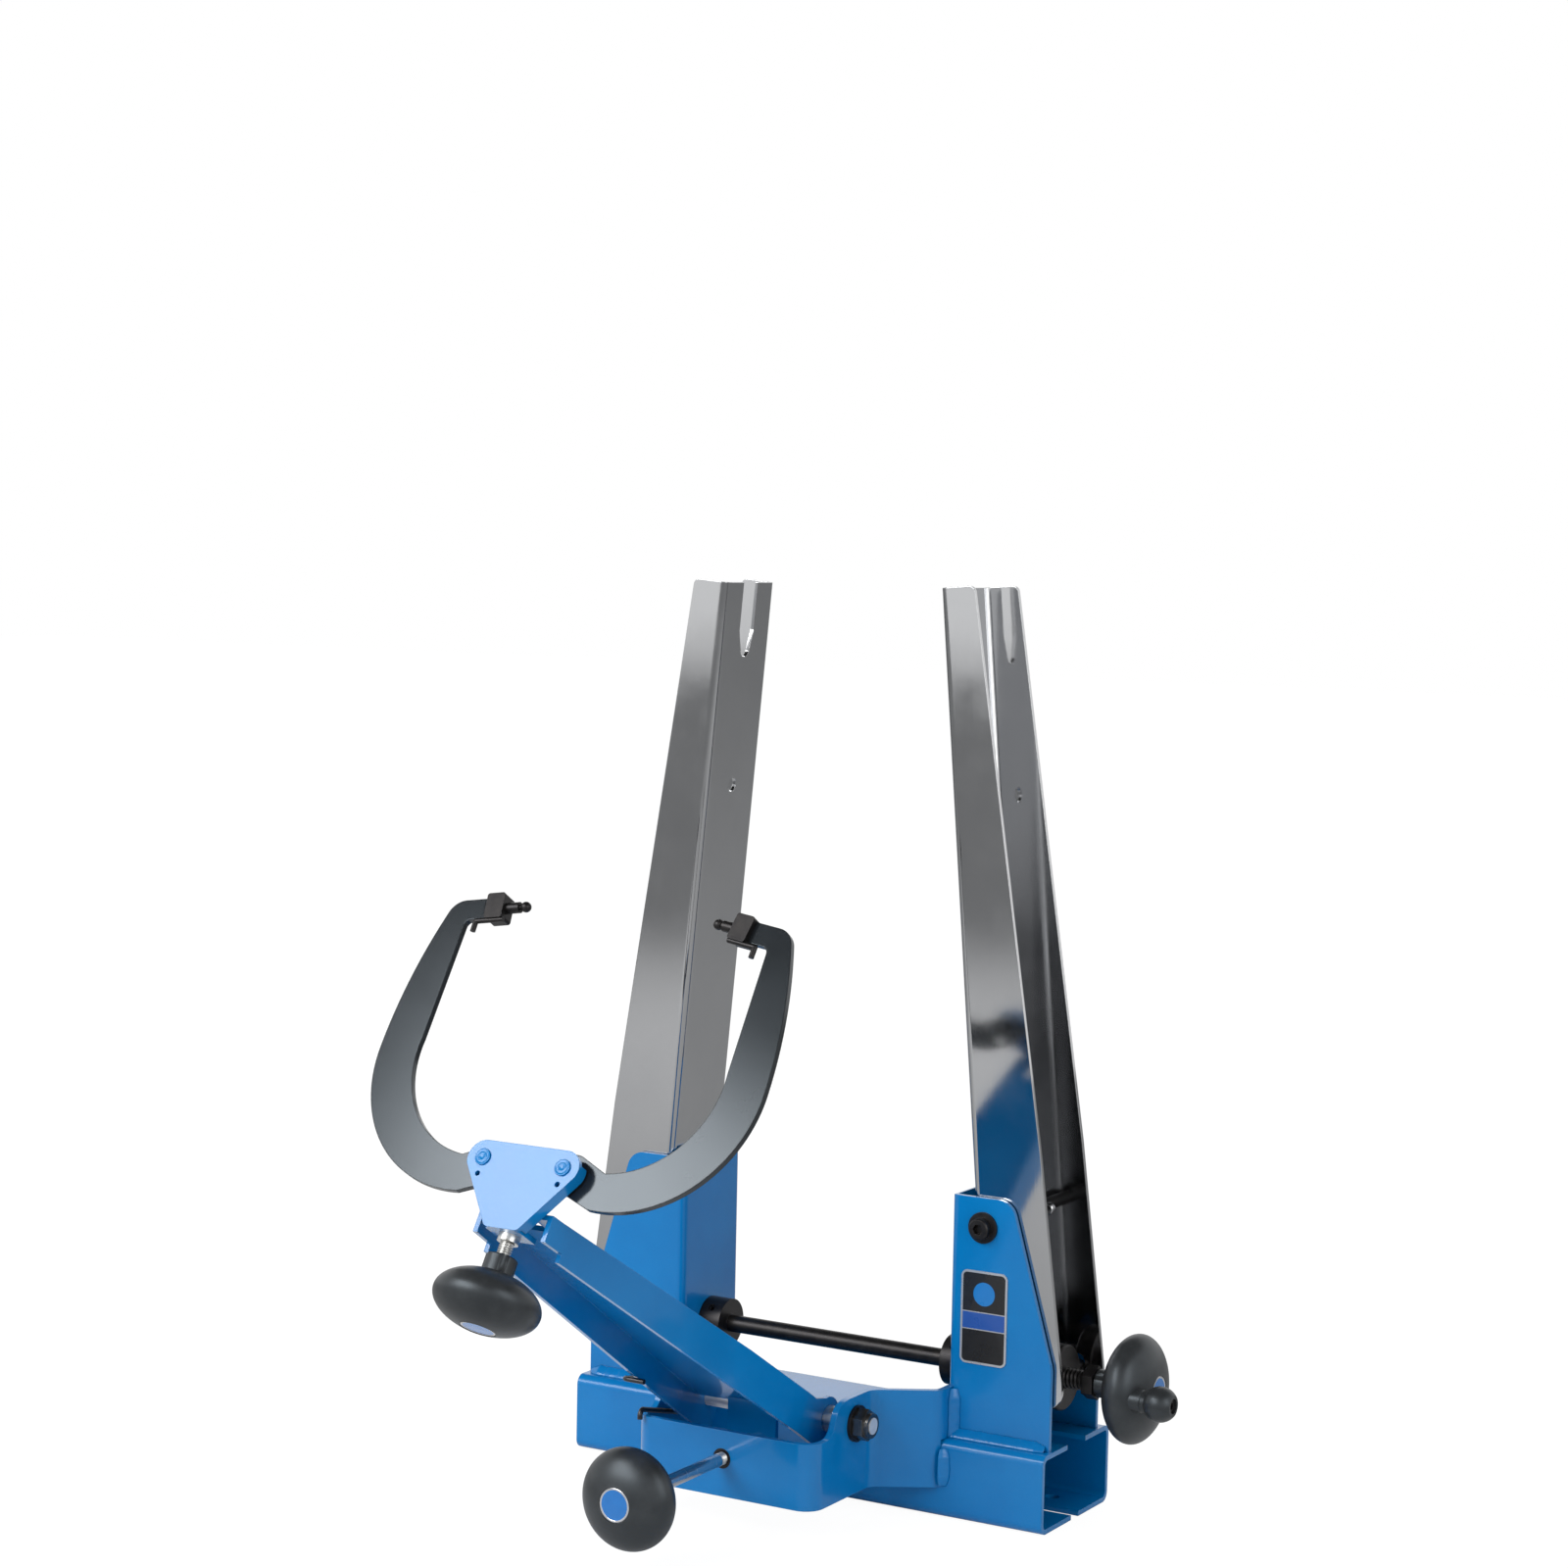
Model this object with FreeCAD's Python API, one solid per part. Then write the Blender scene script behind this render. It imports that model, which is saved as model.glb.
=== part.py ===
"""Bicycle wheel truing stand: a folded sheet base with two channel uprights that a knob opens and
closes, and a front arm with two calipers. Millimetres. The origin is the middle of the base on the
floor, +X points to the main knob, -Y to the caliper side and +Z up."""
import FreeCAD, Part
import math
import os

from FreeCAD import Vector, Placement, Rotation

os.makedirs("parts", exist_ok=True)

# Base channel
base_length = 334.0
base_depth = 92.0
base_height = 48.0
base_sheet = 3.0
base_bend = 6.0
seam_gap = 10.0
end_slot_width = 25.0
end_slot_length = 60.0
bench_hole_dia = 9.0
bench_from_end = 27.0
bench_pitch_x = base_length - 2 * bench_from_end
bench_pitch_y = 48.0

# Brackets that carry the uprights
bracket_sheet = 3.0
bracket_from_end = 71.5
bracket_web_x = base_length / 2.0 - bracket_from_end
bracket_inner_half = 31.0
bracket_top_z = 196.0
bracket_top_length = 40.5
bracket_foot_length = 69.5
bracket_knee_z = 98.0
bracket_corner = 12.0
bracket_bend = 5.0
weld_leg = 6.0

# Upright pivots and the spindle axis
pivot_from_web = 22.0
pivot_x = bracket_web_x + pivot_from_web
pivot_z = 178.0
pivot_bolt_dia = 8.0
spindle_z = 85.3

# Uprights
upright_sheet = 2.5
upright_half = 30.0
upright_web_back = 8.0
upright_top = 385.2
upright_foot = 109.0
upright_top_edge = 15.5
upright_mid_edge = 38.8
upright_mid_z = 44.0
upright_low_edge = 44.5
upright_low_z = -92.0
upright_corner = 12.0
upright_bend = 5.0
upright_lean = 5.1
axle_height = 343.0
axle_seat_dia = 10.2
fork_width = 17.0
fork_flare_drop = 12.0
web_hole_dia = 9.0
web_hole_height = 256.0
rod_window = 24.0

# Spindle and what it carries
spindle_middle_dia = 11.0
spindle_journal_dia = 13.0
spindle_thread_dia = 12.7
collar_dia = 31.0
collar_width = 15.5
set_screw_dia = 5.0
bush_wall = 2.6
bush_flange = 4.0
bush_flange_thick = 1.5
nut_dia = 40.0
nut_width = 12.0
nut_from_web = 57.5
nut_x = bracket_web_x + nut_from_web
trunnion_dia = 10.0
slot_play = 0.5
slot_up = 3.2
slot_down = 5.1
end_nut_flats = 18.5
end_nut_width = 7.0
end_nut_from_web = 77.8
end_nut_x = bracket_web_x + end_nut_from_web
stop_nut_from_web = 74.5
stop_nut_x = bracket_web_x + stop_nut_from_web
running = 0.05
face_gap = 0.2

# Knobs
knob_dia = 60.0
main_knob_dia = 66.0
knob_swell = 16.5
main_knob_swell = 16.5
knob_hub_dia = 18.0
main_hub_dia = 17.0
knob_hub_length = 9.7
main_hub_length = 8.5
cap_dia = 20.0
cap_thick = 1.5
cap_sink = 1.2

# Spinner handle on the main knob
spinner_offset_y = -22.0
spinner_offset_z = -0.5
spinner_boss_dia = 13.6
spinner_stem_dia = 13.0
spinner_neck_dia = 12.4
spinner_ball_dia = 21.2
spinner_length = 21.3
spinner_screw_dia = 5.0
spinner_head_dia = 8.5
spinner_head_height = 4.5
spinner_head_sink = 1.5
spinner_flat = 2.1

# Front yoke
yoke_sheet = 4.0
yoke_front_y = -138.0
yoke_half = 63.0
yoke_bottom_z = 19.0
yoke_front_top_z = 59.0
yoke_side_top_z = 78.5
yoke_wall_back_y = -70.0
yoke_flare_y = -47.6
yoke_end_on_bracket = 4.0
yoke_end_x = bracket_web_x + yoke_end_on_bracket
yoke_end_bend = 10.0
yoke_corner = 12.0

# Arm pivot in the yoke
arm_pivot_y = -88.0
arm_pivot_z = 62.0
arm_bolt_dia = 10.0
arm_washer_dia = 22.0
arm_washer_thick = 2.0
arm_nut_flats = 17.0
arm_nut_height = 9.5
arm_bolt_tail = 0.5
spacer_wall = 3.0
spring_wire = 3.2
spring_radius = 11.6
spring_turns = 2
spring_rest_w = -230.0
spring_tip_x = 31.0

# Caliper arm, in the frame of the arm: x across, y away from the web, z along the arm to its head
arm_angle = 32.0
head_y = -347.2
head_z = 252.5
arm_sheet = 3.0
arm_web_v = -23.8
arm_depth = 20.0
arm_head_half = 23.5
arm_foot_half = 43.9
arm_front_w = -10.0
arm_straight_w = -290.0
arm_web_end_w = -302.0
arm_side_start_w = -20.0
arm_side_full_w = -220.0
arm_side_rise = 4.8
arm_ear_radius = 13.0
arm_window_half = 11.0
arm_window_w = -30.0
arm_tongue_half = 14.6
arm_tab_half = 17.0
arm_web_side_w = -308.5
arm_tab_bottom_z = 31.0
arm_tab_lap = 0.7
pad_dia = 14.0
pad_thick = 2.0
tip_rest_gap = 0.85

# Head plate
head_sheet = 3.0
head_corner = 10.0
head_flange = 8.0
head_foot_v = -38.0
head_foot_half = 12.5
head_foot_corner = 4.0
head_tab_depth = 20.0
head_tab_half = 11.0
head_rest_dimple = 3.0
dimple_drop = 9.5

# Calipers
caliper_sheet = 3.8
caliper_w = -11.0
caliper_pivot_u = 26.0
caliper_pin_dia = 8.0
caliper_boss = 11.5
caliper_lever_u = 4.6
caliper_lever_radius = 3.6
caliper_outer_u = 49.5
caliper_outer_v = 59.0
caliper_outer_radius = 77.2
caliper_inner_u = 41.5
caliper_inner_v = 62.5
caliper_inner_radius = 59.5
caliper_side_lean = 16.0
caliper_side_radius = 300.0
caliper_nose_width = 12.6
caliper_nose_tilt = 9.0
caliper_nose_u = 80.6
caliper_nose_v = 151.4
caliper_corner = 7.5
caliper_inner_top_u = 100.5
caliper_inner_corner = 3.5
pin_head_dia = 9.0
pin_nut_flats = 13.0
pin_nut_height = 6.5
pin_washer_dia = 16.0
pin_washer_thick = 1.5

# Caliper tips
tip_block_ahead = 4.4
tip_block_length = 11.6
tip_block_over = 1.5
tip_block_thick = 11.0
tip_pin_dia = 6.4
tip_pin_reach = 15.2
tip_ball_dia = 6.2
feeler_dia = 3.2
feeler_length = 18.0
feeler_drop = 6.5
feeler_front = 2.5
feeler_gap = 0.1

# Adjusting screws
screw_dia = 8.0
screw_bush_wall = 2.0
screw_bush_length = 12.0
screw_bush_stand = 4.0
push_block_dia = 14.0
push_block_height = 6.0
push_gap = 0.5
upper_knob_v = -75.6
lower_knob_y = -238.0
lower_screw_z = 42.0
lower_bush_flange = 3.0
thrust_tip_radius = 6.0
thrust_tip_length = 9.0

# Label plate
label_width = 31.0
label_height = 57.0
label_thick = 0.8
label_corner = 4.0
label_from_web = 24.0
label_x = bracket_web_x + label_from_web
label_z = 123.0

# Fasteners on the uprights
pivot_washer_dia = 19.0
pivot_washer_thick = 1.5
pivot_head_dia = 13.0
pivot_head_height = 6.0
pivot_nut_flats = 13.0
pivot_nut_height = 8.0
stop_screw_dia = 4.0
stop_head_dia = 7.5
stop_head_height = 2.6
stop_screw_x = 13.7
stop_screw_z = 1.8

X = Vector(1, 0, 0)
Y = Vector(0, 1, 0)
Z = Vector(0, 0, 1)
arm_place = Placement(Vector(0, head_y, head_z), Rotation(X, 90.0 - arm_angle))


def save(shape, name):
    solids = shape.Solids
    out = solids[0] if len(solids) == 1 else Part.makeCompound(solids)
    out.exportStep("parts/" + name + ".step")
    return out


def box(x0, x1, y0, y1, z0, z1):
    return Part.makeBox(x1 - x0, y1 - y0, z1 - z0, Vector(x0, y0, z0))


def rod(dia, length, start, axis):
    return Part.makeCylinder(dia / 2.0, length, start, axis)


def tube(outer, inner, length, start, axis):
    return rod(outer, length, start, axis).cut(rod(inner, length, start, axis))


def face_of(points):
    return Part.Face(Part.makePolygon(points + [points[0]]))


def prism(points, vector):
    return face_of(points).extrude(vector)


def round_polygon(corners, lift):
    """A closed wire through (a, b, radius) corners, each rounded by an arc; lift maps (a, b) to 3-D."""
    count = len(corners)
    edges = []
    last = None
    first = None
    for i in range(count):
        ax, ay, _ = corners[i - 1]
        bx, by, radius = corners[i]
        cx, cy, _ = corners[(i + 1) % count]
        u = Vector(ax - bx, ay - by, 0).normalize()
        w = Vector(cx - bx, cy - by, 0).normalize()
        half = u.getAngle(w) / 2.0
        if radius > 0:
            run = radius / math.tan(half)
            p = Vector(bx, by, 0) + u * run
            q = Vector(bx, by, 0) + w * run
            mid_dir = (u + w).normalize()
            m = Vector(bx, by, 0) + mid_dir * (radius / math.sin(half) - radius)
        else:
            p = Vector(bx, by, 0)
            q = p
            m = None
        if last is not None and last.distanceToPoint(p) > 1e-6:
            edges.append(Part.makeLine(lift(last.x, last.y), lift(p.x, p.y)))
        if m is not None:
            edges.append(Part.Arc(lift(p.x, p.y), lift(m.x, m.y), lift(q.x, q.y)).toShape())
        last = q
        first = p if first is None else first
    if last.distanceToPoint(first) > 1e-6:
        edges.append(Part.makeLine(lift(last.x, last.y), lift(first.x, first.y)))
    return Part.Wire(Part.__sortEdges__(edges))


def rounded(corners, lift, vector):
    return Part.Face(round_polygon(corners, lift)).extrude(vector)


def hex_prism(flats, height, start, axis):
    radius = flats / math.sqrt(3.0)
    points = [Vector(radius * math.cos(math.radians(60 * i)), radius * math.sin(math.radians(60 * i)), 0)
              for i in range(6)]
    shape = prism(points, Vector(0, 0, height))
    cone = Part.makeCone(radius * 1.0 + height, radius * 0.93, height + radius * 0.07)
    shape = shape.common(cone)
    shape.Placement = Placement(start, Rotation(Z, axis))
    return shape


def mirrored(shape):
    return shape.mirror(Vector(0, 0, 0), X)


def at(z):
    return lambda a, b: Vector(a, b, z)


def in_xz(y):
    return lambda a, b: Vector(a, y, b)


# Base: one sheet folded to a box, with its seam underneath
def base_channel():
    half_x = base_length / 2.0
    half_y = base_depth / 2.0
    outer_corners = [(-half_y, 0, base_bend), (half_y, 0, base_bend),
                     (half_y, base_height, base_bend), (-half_y, base_height, base_bend)]
    t = base_sheet
    inner_corners = [(-half_y + t, t, base_bend - t), (half_y - t, t, base_bend - t),
                     (half_y - t, base_height - t, base_bend - t), (-half_y + t, base_height - t, base_bend - t)]

    def lift(a, b):
        return Vector(-half_x, a, b)

    body = rounded(outer_corners, lift, X * base_length)
    body = body.cut(rounded(inner_corners, lift, X * base_length))
    body = body.cut(box(-half_x, half_x, -seam_gap / 2.0, seam_gap / 2.0, -1, t + 1))
    for side in (-1, 1):
        inner_end = side * (half_x - end_slot_length + end_slot_width / 2.0)
        slot = box(min(inner_end, side * half_x), max(inner_end, side * half_x),
                   -end_slot_width / 2.0, end_slot_width / 2.0, base_height - t - 1, base_height + 1)
        slot = slot.fuse(rod(end_slot_width, t + 2, Vector(inner_end, 0, base_height - t - 1), Z))
        body = body.cut(slot)
        for edge in (-1, 1):
            hole = rod(bench_hole_dia, t + 2,
                       Vector(side * bench_pitch_x / 2.0, edge * bench_pitch_y / 2.0, -1), Z)
            body = body.cut(hole)
    return body


# Bracket: a U of sheet, web inward, cut to a sloping outline
def bracket_plan():
    out_half = bracket_inner_half + bracket_sheet
    far_x = bracket_web_x + bracket_foot_length
    return [(bracket_web_x, -out_half, bracket_bend), (far_x, -out_half, 0),
            (far_x, out_half, 0), (bracket_web_x, out_half, bracket_bend)]


def bracket():
    out_half = bracket_inner_half + bracket_sheet
    far_x = bracket_web_x + bracket_foot_length
    inner = [(bracket_web_x + bracket_sheet, -bracket_inner_half, bracket_bend - bracket_sheet),
             (far_x + 1, -bracket_inner_half, 0), (far_x + 1, bracket_inner_half, 0),
             (bracket_web_x + bracket_sheet, bracket_inner_half, bracket_bend - bracket_sheet)]
    rise = bracket_top_z - base_height
    body = rounded(bracket_plan(), at(base_height), Z * rise).cut(rounded(inner, at(base_height), Z * rise))
    outline = [(bracket_web_x, base_height, 0), (far_x, base_height, 0), (far_x, bracket_knee_z, 20),
               (bracket_web_x + bracket_top_length, bracket_top_z, bracket_corner),
               (bracket_web_x, bracket_top_z, 2)]
    body = body.common(rounded(outline, in_xz(-out_half), Y * 2 * out_half))
    body = body.cut(rod(pivot_bolt_dia + 2 * running, 2 * out_half + 2,
                        Vector(pivot_x, -out_half - 1, pivot_z), Y))
    bush_hole = spindle_journal_dia + 2 * running + 2 * bush_wall
    body = body.cut(rod(bush_hole, bracket_sheet + 2, Vector(bracket_web_x - 1, 0, spindle_z), X))
    return body


def quarter_bead(corner, along, side, up):
    """A fillet of weld in the corner between a plate and the sheet under it."""
    q = corner + side * weld_leg
    r = corner + up * weld_leg
    mid = corner + (side + up) * (weld_leg * 0.62)
    arc = Part.Arc(q, mid, r).toShape()
    wire = Part.Wire([Part.makeLine(corner, q), arc, Part.makeLine(r, corner)])
    return Part.Face(wire).extrude(along)


def weld_beads():
    out_half = bracket_inner_half + bracket_sheet
    far_x = bracket_web_x + bracket_foot_length
    start_x = yoke_end_x + weld_leg
    front = quarter_bead(Vector(start_x, -out_half, base_height), X * (far_x - 2 - start_x), -Y, Z)
    back_start = bracket_web_x + bracket_bend + 1
    back = quarter_bead(Vector(back_start, out_half, base_height), X * (far_x - 2 - back_start), Y, Z)
    upper = quarter_bead(Vector(yoke_end_x, -out_half, base_height), Z * (yoke_side_top_z - base_height - 1), X, -Y)
    lower = quarter_bead(Vector(yoke_end_x, -base_depth / 2.0, yoke_bottom_z + 1),
                         Z * (base_height - base_bend - yoke_bottom_z - 1), X, -Y)
    return [front, back, upper, lower]


# Web bush: plain bearing for the spindle, flange on the outer side of the bracket web
def web_bush():
    bore = spindle_journal_dia + 2 * running
    outer = bore + 2 * bush_wall
    sleeve = rod(outer, bracket_sheet, Vector(bracket_web_x, 0, spindle_z), X)
    flange = rod(outer + 2 * bush_flange, bush_flange_thick,
                 Vector(bracket_web_x + bracket_sheet, 0, spindle_z), X)
    hole = rod(bore, bracket_sheet + bush_flange_thick, Vector(bracket_web_x, 0, spindle_z), X)
    return sleeve.fuse(flange).removeSplitter().cut(hole)


# Upright, built standing with its pivot at the origin, then leaned
def lean_place():
    return Placement(Vector(pivot_x, 0, pivot_z), Rotation(Y, -upright_lean))


def nut_in_upright():
    """Where the travelling nut's axis sits in the upright's own frame."""
    return lean_place().inverse().multVec(Vector(nut_x, 0, spindle_z))


def upright():
    web = -upright_web_back
    h = upright_half
    t = upright_sheet
    far = upright_low_edge
    plan = [(web, -h, upright_bend), (far, -h, 0), (far, h, 0), (web, h, upright_bend)]
    inner = [(web + t, -h + t, upright_bend - t), (far + 1, -h + t, 0),
             (far + 1, h - t, 0), (web + t, h - t, upright_bend - t)]
    tall = upright_top + upright_foot
    body = rounded(plan, at(-upright_foot), Z * tall).cut(rounded(inner, at(-upright_foot), Z * tall))
    outline = [(web, -upright_foot, 0), (far, -upright_foot, upright_corner),
               (far, upright_low_z, 0.0), (upright_mid_edge, upright_mid_z, 60.0),
               (upright_top_edge, upright_top, 4.0), (web, upright_top, 0)]
    outline[1] = (far, -upright_foot, min(upright_corner, upright_foot + upright_low_z - 0.5))
    body = body.common(rounded(outline, in_xz(-h), Y * 2 * h))
    body = body.cut(fork_slot(web, t))
    body = body.cut(rod(web_hole_dia, t + 2, Vector(web - 1, 0, web_hole_height), X))
    body = body.cut(rod(pivot_bolt_dia + 2 * running, 2 * h + 2, Vector(0, -h - 1, 0), Y))
    rod_at = lean_place().inverse().multVec(Vector(pivot_x - web, 0, spindle_z))
    body = body.cut(rod(rod_window, t + 2, Vector(web - 1, 0, rod_at.z), X))
    n = nut_in_upright()
    half = trunnion_dia / 2.0 + slot_play
    for side in (-1, 1):
        y0 = side * h - (1 if side < 0 else t + 1)
        slot = box(n.x - half, n.x + half, y0, y0 + t + 2, n.z - slot_down, n.z + slot_up)
        slot = slot.fuse(rod(2 * half, t + 2, Vector(n.x, y0, n.z - slot_down), Y))
        slot = slot.fuse(rod(2 * half, t + 2, Vector(n.x, y0, n.z + slot_up), Y))
        body = body.cut(slot)
    body = body.cut(rod(stop_screw_dia, t + 2, Vector(stop_screw_x, h - t - 1, stop_screw_z), Y))
    body.Placement = lean_place().multiply(body.Placement)
    return body


def fork_slot(web, t):
    seat = axle_seat_dia / 2.0
    wide = fork_width / 2.0
    shoulder = axle_height + fork_flare_drop

    def lift(a, b):
        return Vector(web - 1, a, b)

    points = [lift(-seat, axle_height), lift(seat, axle_height), lift(wide, shoulder),
              lift(wide, upright_top + 1), lift(-wide, upright_top + 1), lift(-wide, shoulder)]
    slot = prism(points, X * (t + 2))
    return slot.fuse(rod(axle_seat_dia, t + 2, Vector(web - 1, 0, axle_height), X))


def stop_screw():
    inner = upright_half - upright_sheet
    shank = rod(stop_screw_dia, upright_sheet, Vector(stop_screw_x, inner, stop_screw_z), Y)
    head = rod(stop_head_dia, stop_head_height, Vector(stop_screw_x, inner, stop_screw_z), -Y)
    head = head.makeFillet(stop_head_height * 0.45, [head.Edges[i] for i in far_ring(head, -Y)])
    body = shank.fuse(head)
    body.Placement = lean_place().multiply(body.Placement)
    return body


def far_ring(shape, direction):
    """Indexes of the circular edges at the far end of a round piece."""
    rings = [(edge.CenterOfMass.dot(direction), i) for i, edge in enumerate(shape.Edges)
             if len(edge.Vertexes) == 1]
    best = max(rings)[0]
    return [i for value, i in rings if abs(value - best) < 1e-6]


def thrust_washers():
    gap = bracket_inner_half - upright_half
    bore = pivot_bolt_dia + 2 * running
    discs = [tube(pivot_washer_dia, bore, gap, Vector(pivot_x, side, pivot_z), Y)
             for side in (-bracket_inner_half, upright_half)]
    return discs


def pivot_bolt():
    out_half = bracket_inner_half + bracket_sheet
    face = -out_half - pivot_washer_thick
    span = 2 * out_half + pivot_washer_thick + pivot_nut_height + 2
    shank = rod(pivot_bolt_dia, span, Vector(pivot_x, face, pivot_z), Y)
    head = rod(pivot_head_dia, pivot_head_height, Vector(pivot_x, face, pivot_z), -Y)
    head = head.makeChamfer(0.8, [head.Edges[i] for i in far_ring(head, -Y)])
    socket = hex_prism(6.0, pivot_head_height, Vector(pivot_x, face - 2.2, pivot_z), -Y)
    washer = rod(pivot_washer_dia, pivot_washer_thick, Vector(pivot_x, face, pivot_z), Y)
    return shank.fuse(head).fuse(washer).cut(socket).removeSplitter()


def pivot_nut():
    out_half = bracket_inner_half + bracket_sheet
    nut = hex_prism(pivot_nut_flats, pivot_nut_height, Vector(pivot_x, out_half, pivot_z), Y)
    return nut.cut(rod(pivot_bolt_dia, pivot_nut_height + 2, Vector(pivot_x, out_half - 1, pivot_z), Y))


# Spindle: smooth middle, journals under collars and bushes, threaded ends
def spindle_rod(knob_seat_x):
    axis = Vector(0, 0, spindle_z)
    inner = bracket_web_x - collar_width - face_gap
    journal_end = bracket_web_x + bracket_sheet + bush_flange_thick + 4.0
    left_end = stop_nut_x + end_nut_width + 3.0
    middle = rod(spindle_middle_dia, 2 * inner, axis - X * inner, X)
    body = middle
    for side in (-1, 1):
        start = inner if side > 0 else -journal_end
        body = body.fuse(rod(spindle_journal_dia, journal_end - inner, axis + X * start, X))
        far = knob_seat_x if side > 0 else left_end
        start = journal_end if side > 0 else -far
        body = body.fuse(rod(spindle_thread_dia, far - journal_end, axis + X * start, X))
    return body


def collar():
    start = bracket_web_x - collar_width - face_gap
    body = tube(collar_dia, spindle_journal_dia, collar_width, Vector(start, 0, spindle_z), X)
    return body.cut(set_screw_hole())


def set_screw_hole():
    mid = bracket_web_x - collar_width / 2.0 - face_gap
    out = Vector(0, -1, 1).normalize()
    return rod(set_screw_dia, collar_dia, Vector(mid, 0, spindle_z), out).cut(
        rod(spindle_journal_dia, collar_dia, Vector(mid - collar_dia / 2.0, 0, spindle_z), X))


def set_screw():
    start = bracket_web_x - collar_width - face_gap
    ring = tube(collar_dia - 1.6, spindle_journal_dia, collar_width, Vector(start, 0, spindle_z), X)
    out = Vector(0, -1, 1).normalize()
    mid = Vector(bracket_web_x - collar_width / 2.0 - face_gap, 0, spindle_z)
    socket = hex_prism(2.5, 4.0, mid + out * (collar_dia / 2.0 - 3.4), out)
    return set_screw_hole().common(ring).cut(socket)


def end_nut(start_x):
    nut = hex_prism(end_nut_flats, end_nut_width, Vector(start_x, 0, spindle_z), X)
    return nut.cut(rod(spindle_thread_dia, end_nut_width + 2, Vector(start_x - 1, 0, spindle_z), X))


def travel_nut():
    start = nut_x - nut_width / 2.0
    body = rod(nut_dia, nut_width, Vector(start, 0, spindle_z), X)
    body = body.makeChamfer(1.0, [e for e in body.Edges if len(e.Vertexes) == 1])
    reach = upright_half - 0.3
    body = body.fuse(rod(trunnion_dia, 2 * reach, Vector(nut_x, -reach, spindle_z), Y))
    bore = spindle_thread_dia + 2 * running
    return body.cut(rod(bore, nut_width + 2, Vector(start - 1, 0, spindle_z), X)).removeSplitter()


# Knob: a swollen disc on a fluted hub, along +Z with the hub's face at zero
def knob(dia, swell, hub_dia, hub_length):
    radius = dia / 2.0
    hub = hub_dia / 2.0
    centre = hub_length + swell * math.sqrt(1.0 - (hub / radius) ** 2)
    cap_radius = cap_dia / 2.0
    steps = 9
    low = -math.acos(hub / radius)
    high = math.acos((cap_radius + 0.8) / radius)
    points = []
    for i in range(steps):
        angle = low + (high - low) * i / (steps - 1.0)
        points.append(Vector(radius * math.cos(angle), 0, centre + swell * math.sin(angle)))
    curve = Part.BSplineCurve()
    curve.interpolate(points)
    end = points[-1]
    floor_z = end.z - cap_sink - cap_thick
    wire = Part.Wire([
        Part.makeLine(Vector(0, 0, 0), Vector(hub, 0, 0)),
        Part.makeLine(Vector(hub, 0, 0), points[0]),
        curve.toShape(),
        Part.makeLine(end, Vector(cap_radius, 0, end.z)),
        Part.makeLine(Vector(cap_radius, 0, end.z), Vector(cap_radius, 0, floor_z)),
        Part.makeLine(Vector(cap_radius, 0, floor_z), Vector(0, 0, floor_z)),
        Part.makeLine(Vector(0, 0, floor_z), Vector(0, 0, 0))])
    body = Part.Face(wire).revolve(Vector(0, 0, 0), Z, 360)
    body = Part.Solid(body.Shells[0]) if not body.Solids else body.Solids[0]
    for i in range(4):
        angle = math.radians(45 + 90 * i)
        reach = hub + 2.4
        groove = rod(7.0, hub_length * 0.8, Vector(reach * math.cos(angle), reach * math.sin(angle), 0), Z)
        body = body.cut(groove)
    return body, centre, floor_z


def knob_set(dia, swell, hub_dia, hub_length, bore_dia, bore_depth, place):
    body, centre, floor_z = knob(dia, swell, hub_dia, hub_length)
    body = body.cut(rod(bore_dia, bore_depth, Vector(0, 0, 0), Z))
    cap = rod(cap_dia, cap_thick, Vector(0, 0, floor_z), Z)
    body.Placement = place.multiply(body.Placement)
    cap.Placement = place.multiply(cap.Placement)
    return body, cap, centre


def knob_front(dia, swell, hub_dia, hub_length, radius_at):
    """Height of a knob's front surface at a distance from its axis."""
    half = dia / 2.0
    centre = hub_length + swell * math.sqrt(1.0 - (hub_dia / dia) ** 2)
    return centre + swell * math.sqrt(1.0 - (radius_at / half) ** 2)


def main_knob_parts():
    start_x = end_nut_x + end_nut_width
    place = Placement(Vector(start_x, 0, spindle_z), Rotation(Z, X))
    body, cap, centre = knob_set(main_knob_dia, main_knob_swell, main_hub_dia, main_hub_length,
                                 spindle_thread_dia, main_hub_length + 6.0, place)
    offset = math.hypot(spinner_offset_y, spinner_offset_z)
    seat = start_x + knob_front(main_knob_dia, main_knob_swell, main_hub_dia, main_hub_length,
                                offset - spinner_boss_dia / 2.0) + 0.6
    foot = start_x + centre
    axis_at = Vector(seat, spinner_offset_y, spindle_z + spinner_offset_z)
    boss = rod(spinner_boss_dia, seat - foot, axis_at - X * (seat - foot), X)
    body = body.fuse(boss).removeSplitter()
    depth = spinner_screw_depth(axis_at)
    body = body.cut(rod(spinner_screw_dia, depth + 1, axis_at - X * depth, X))
    return body, cap, axis_at


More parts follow.
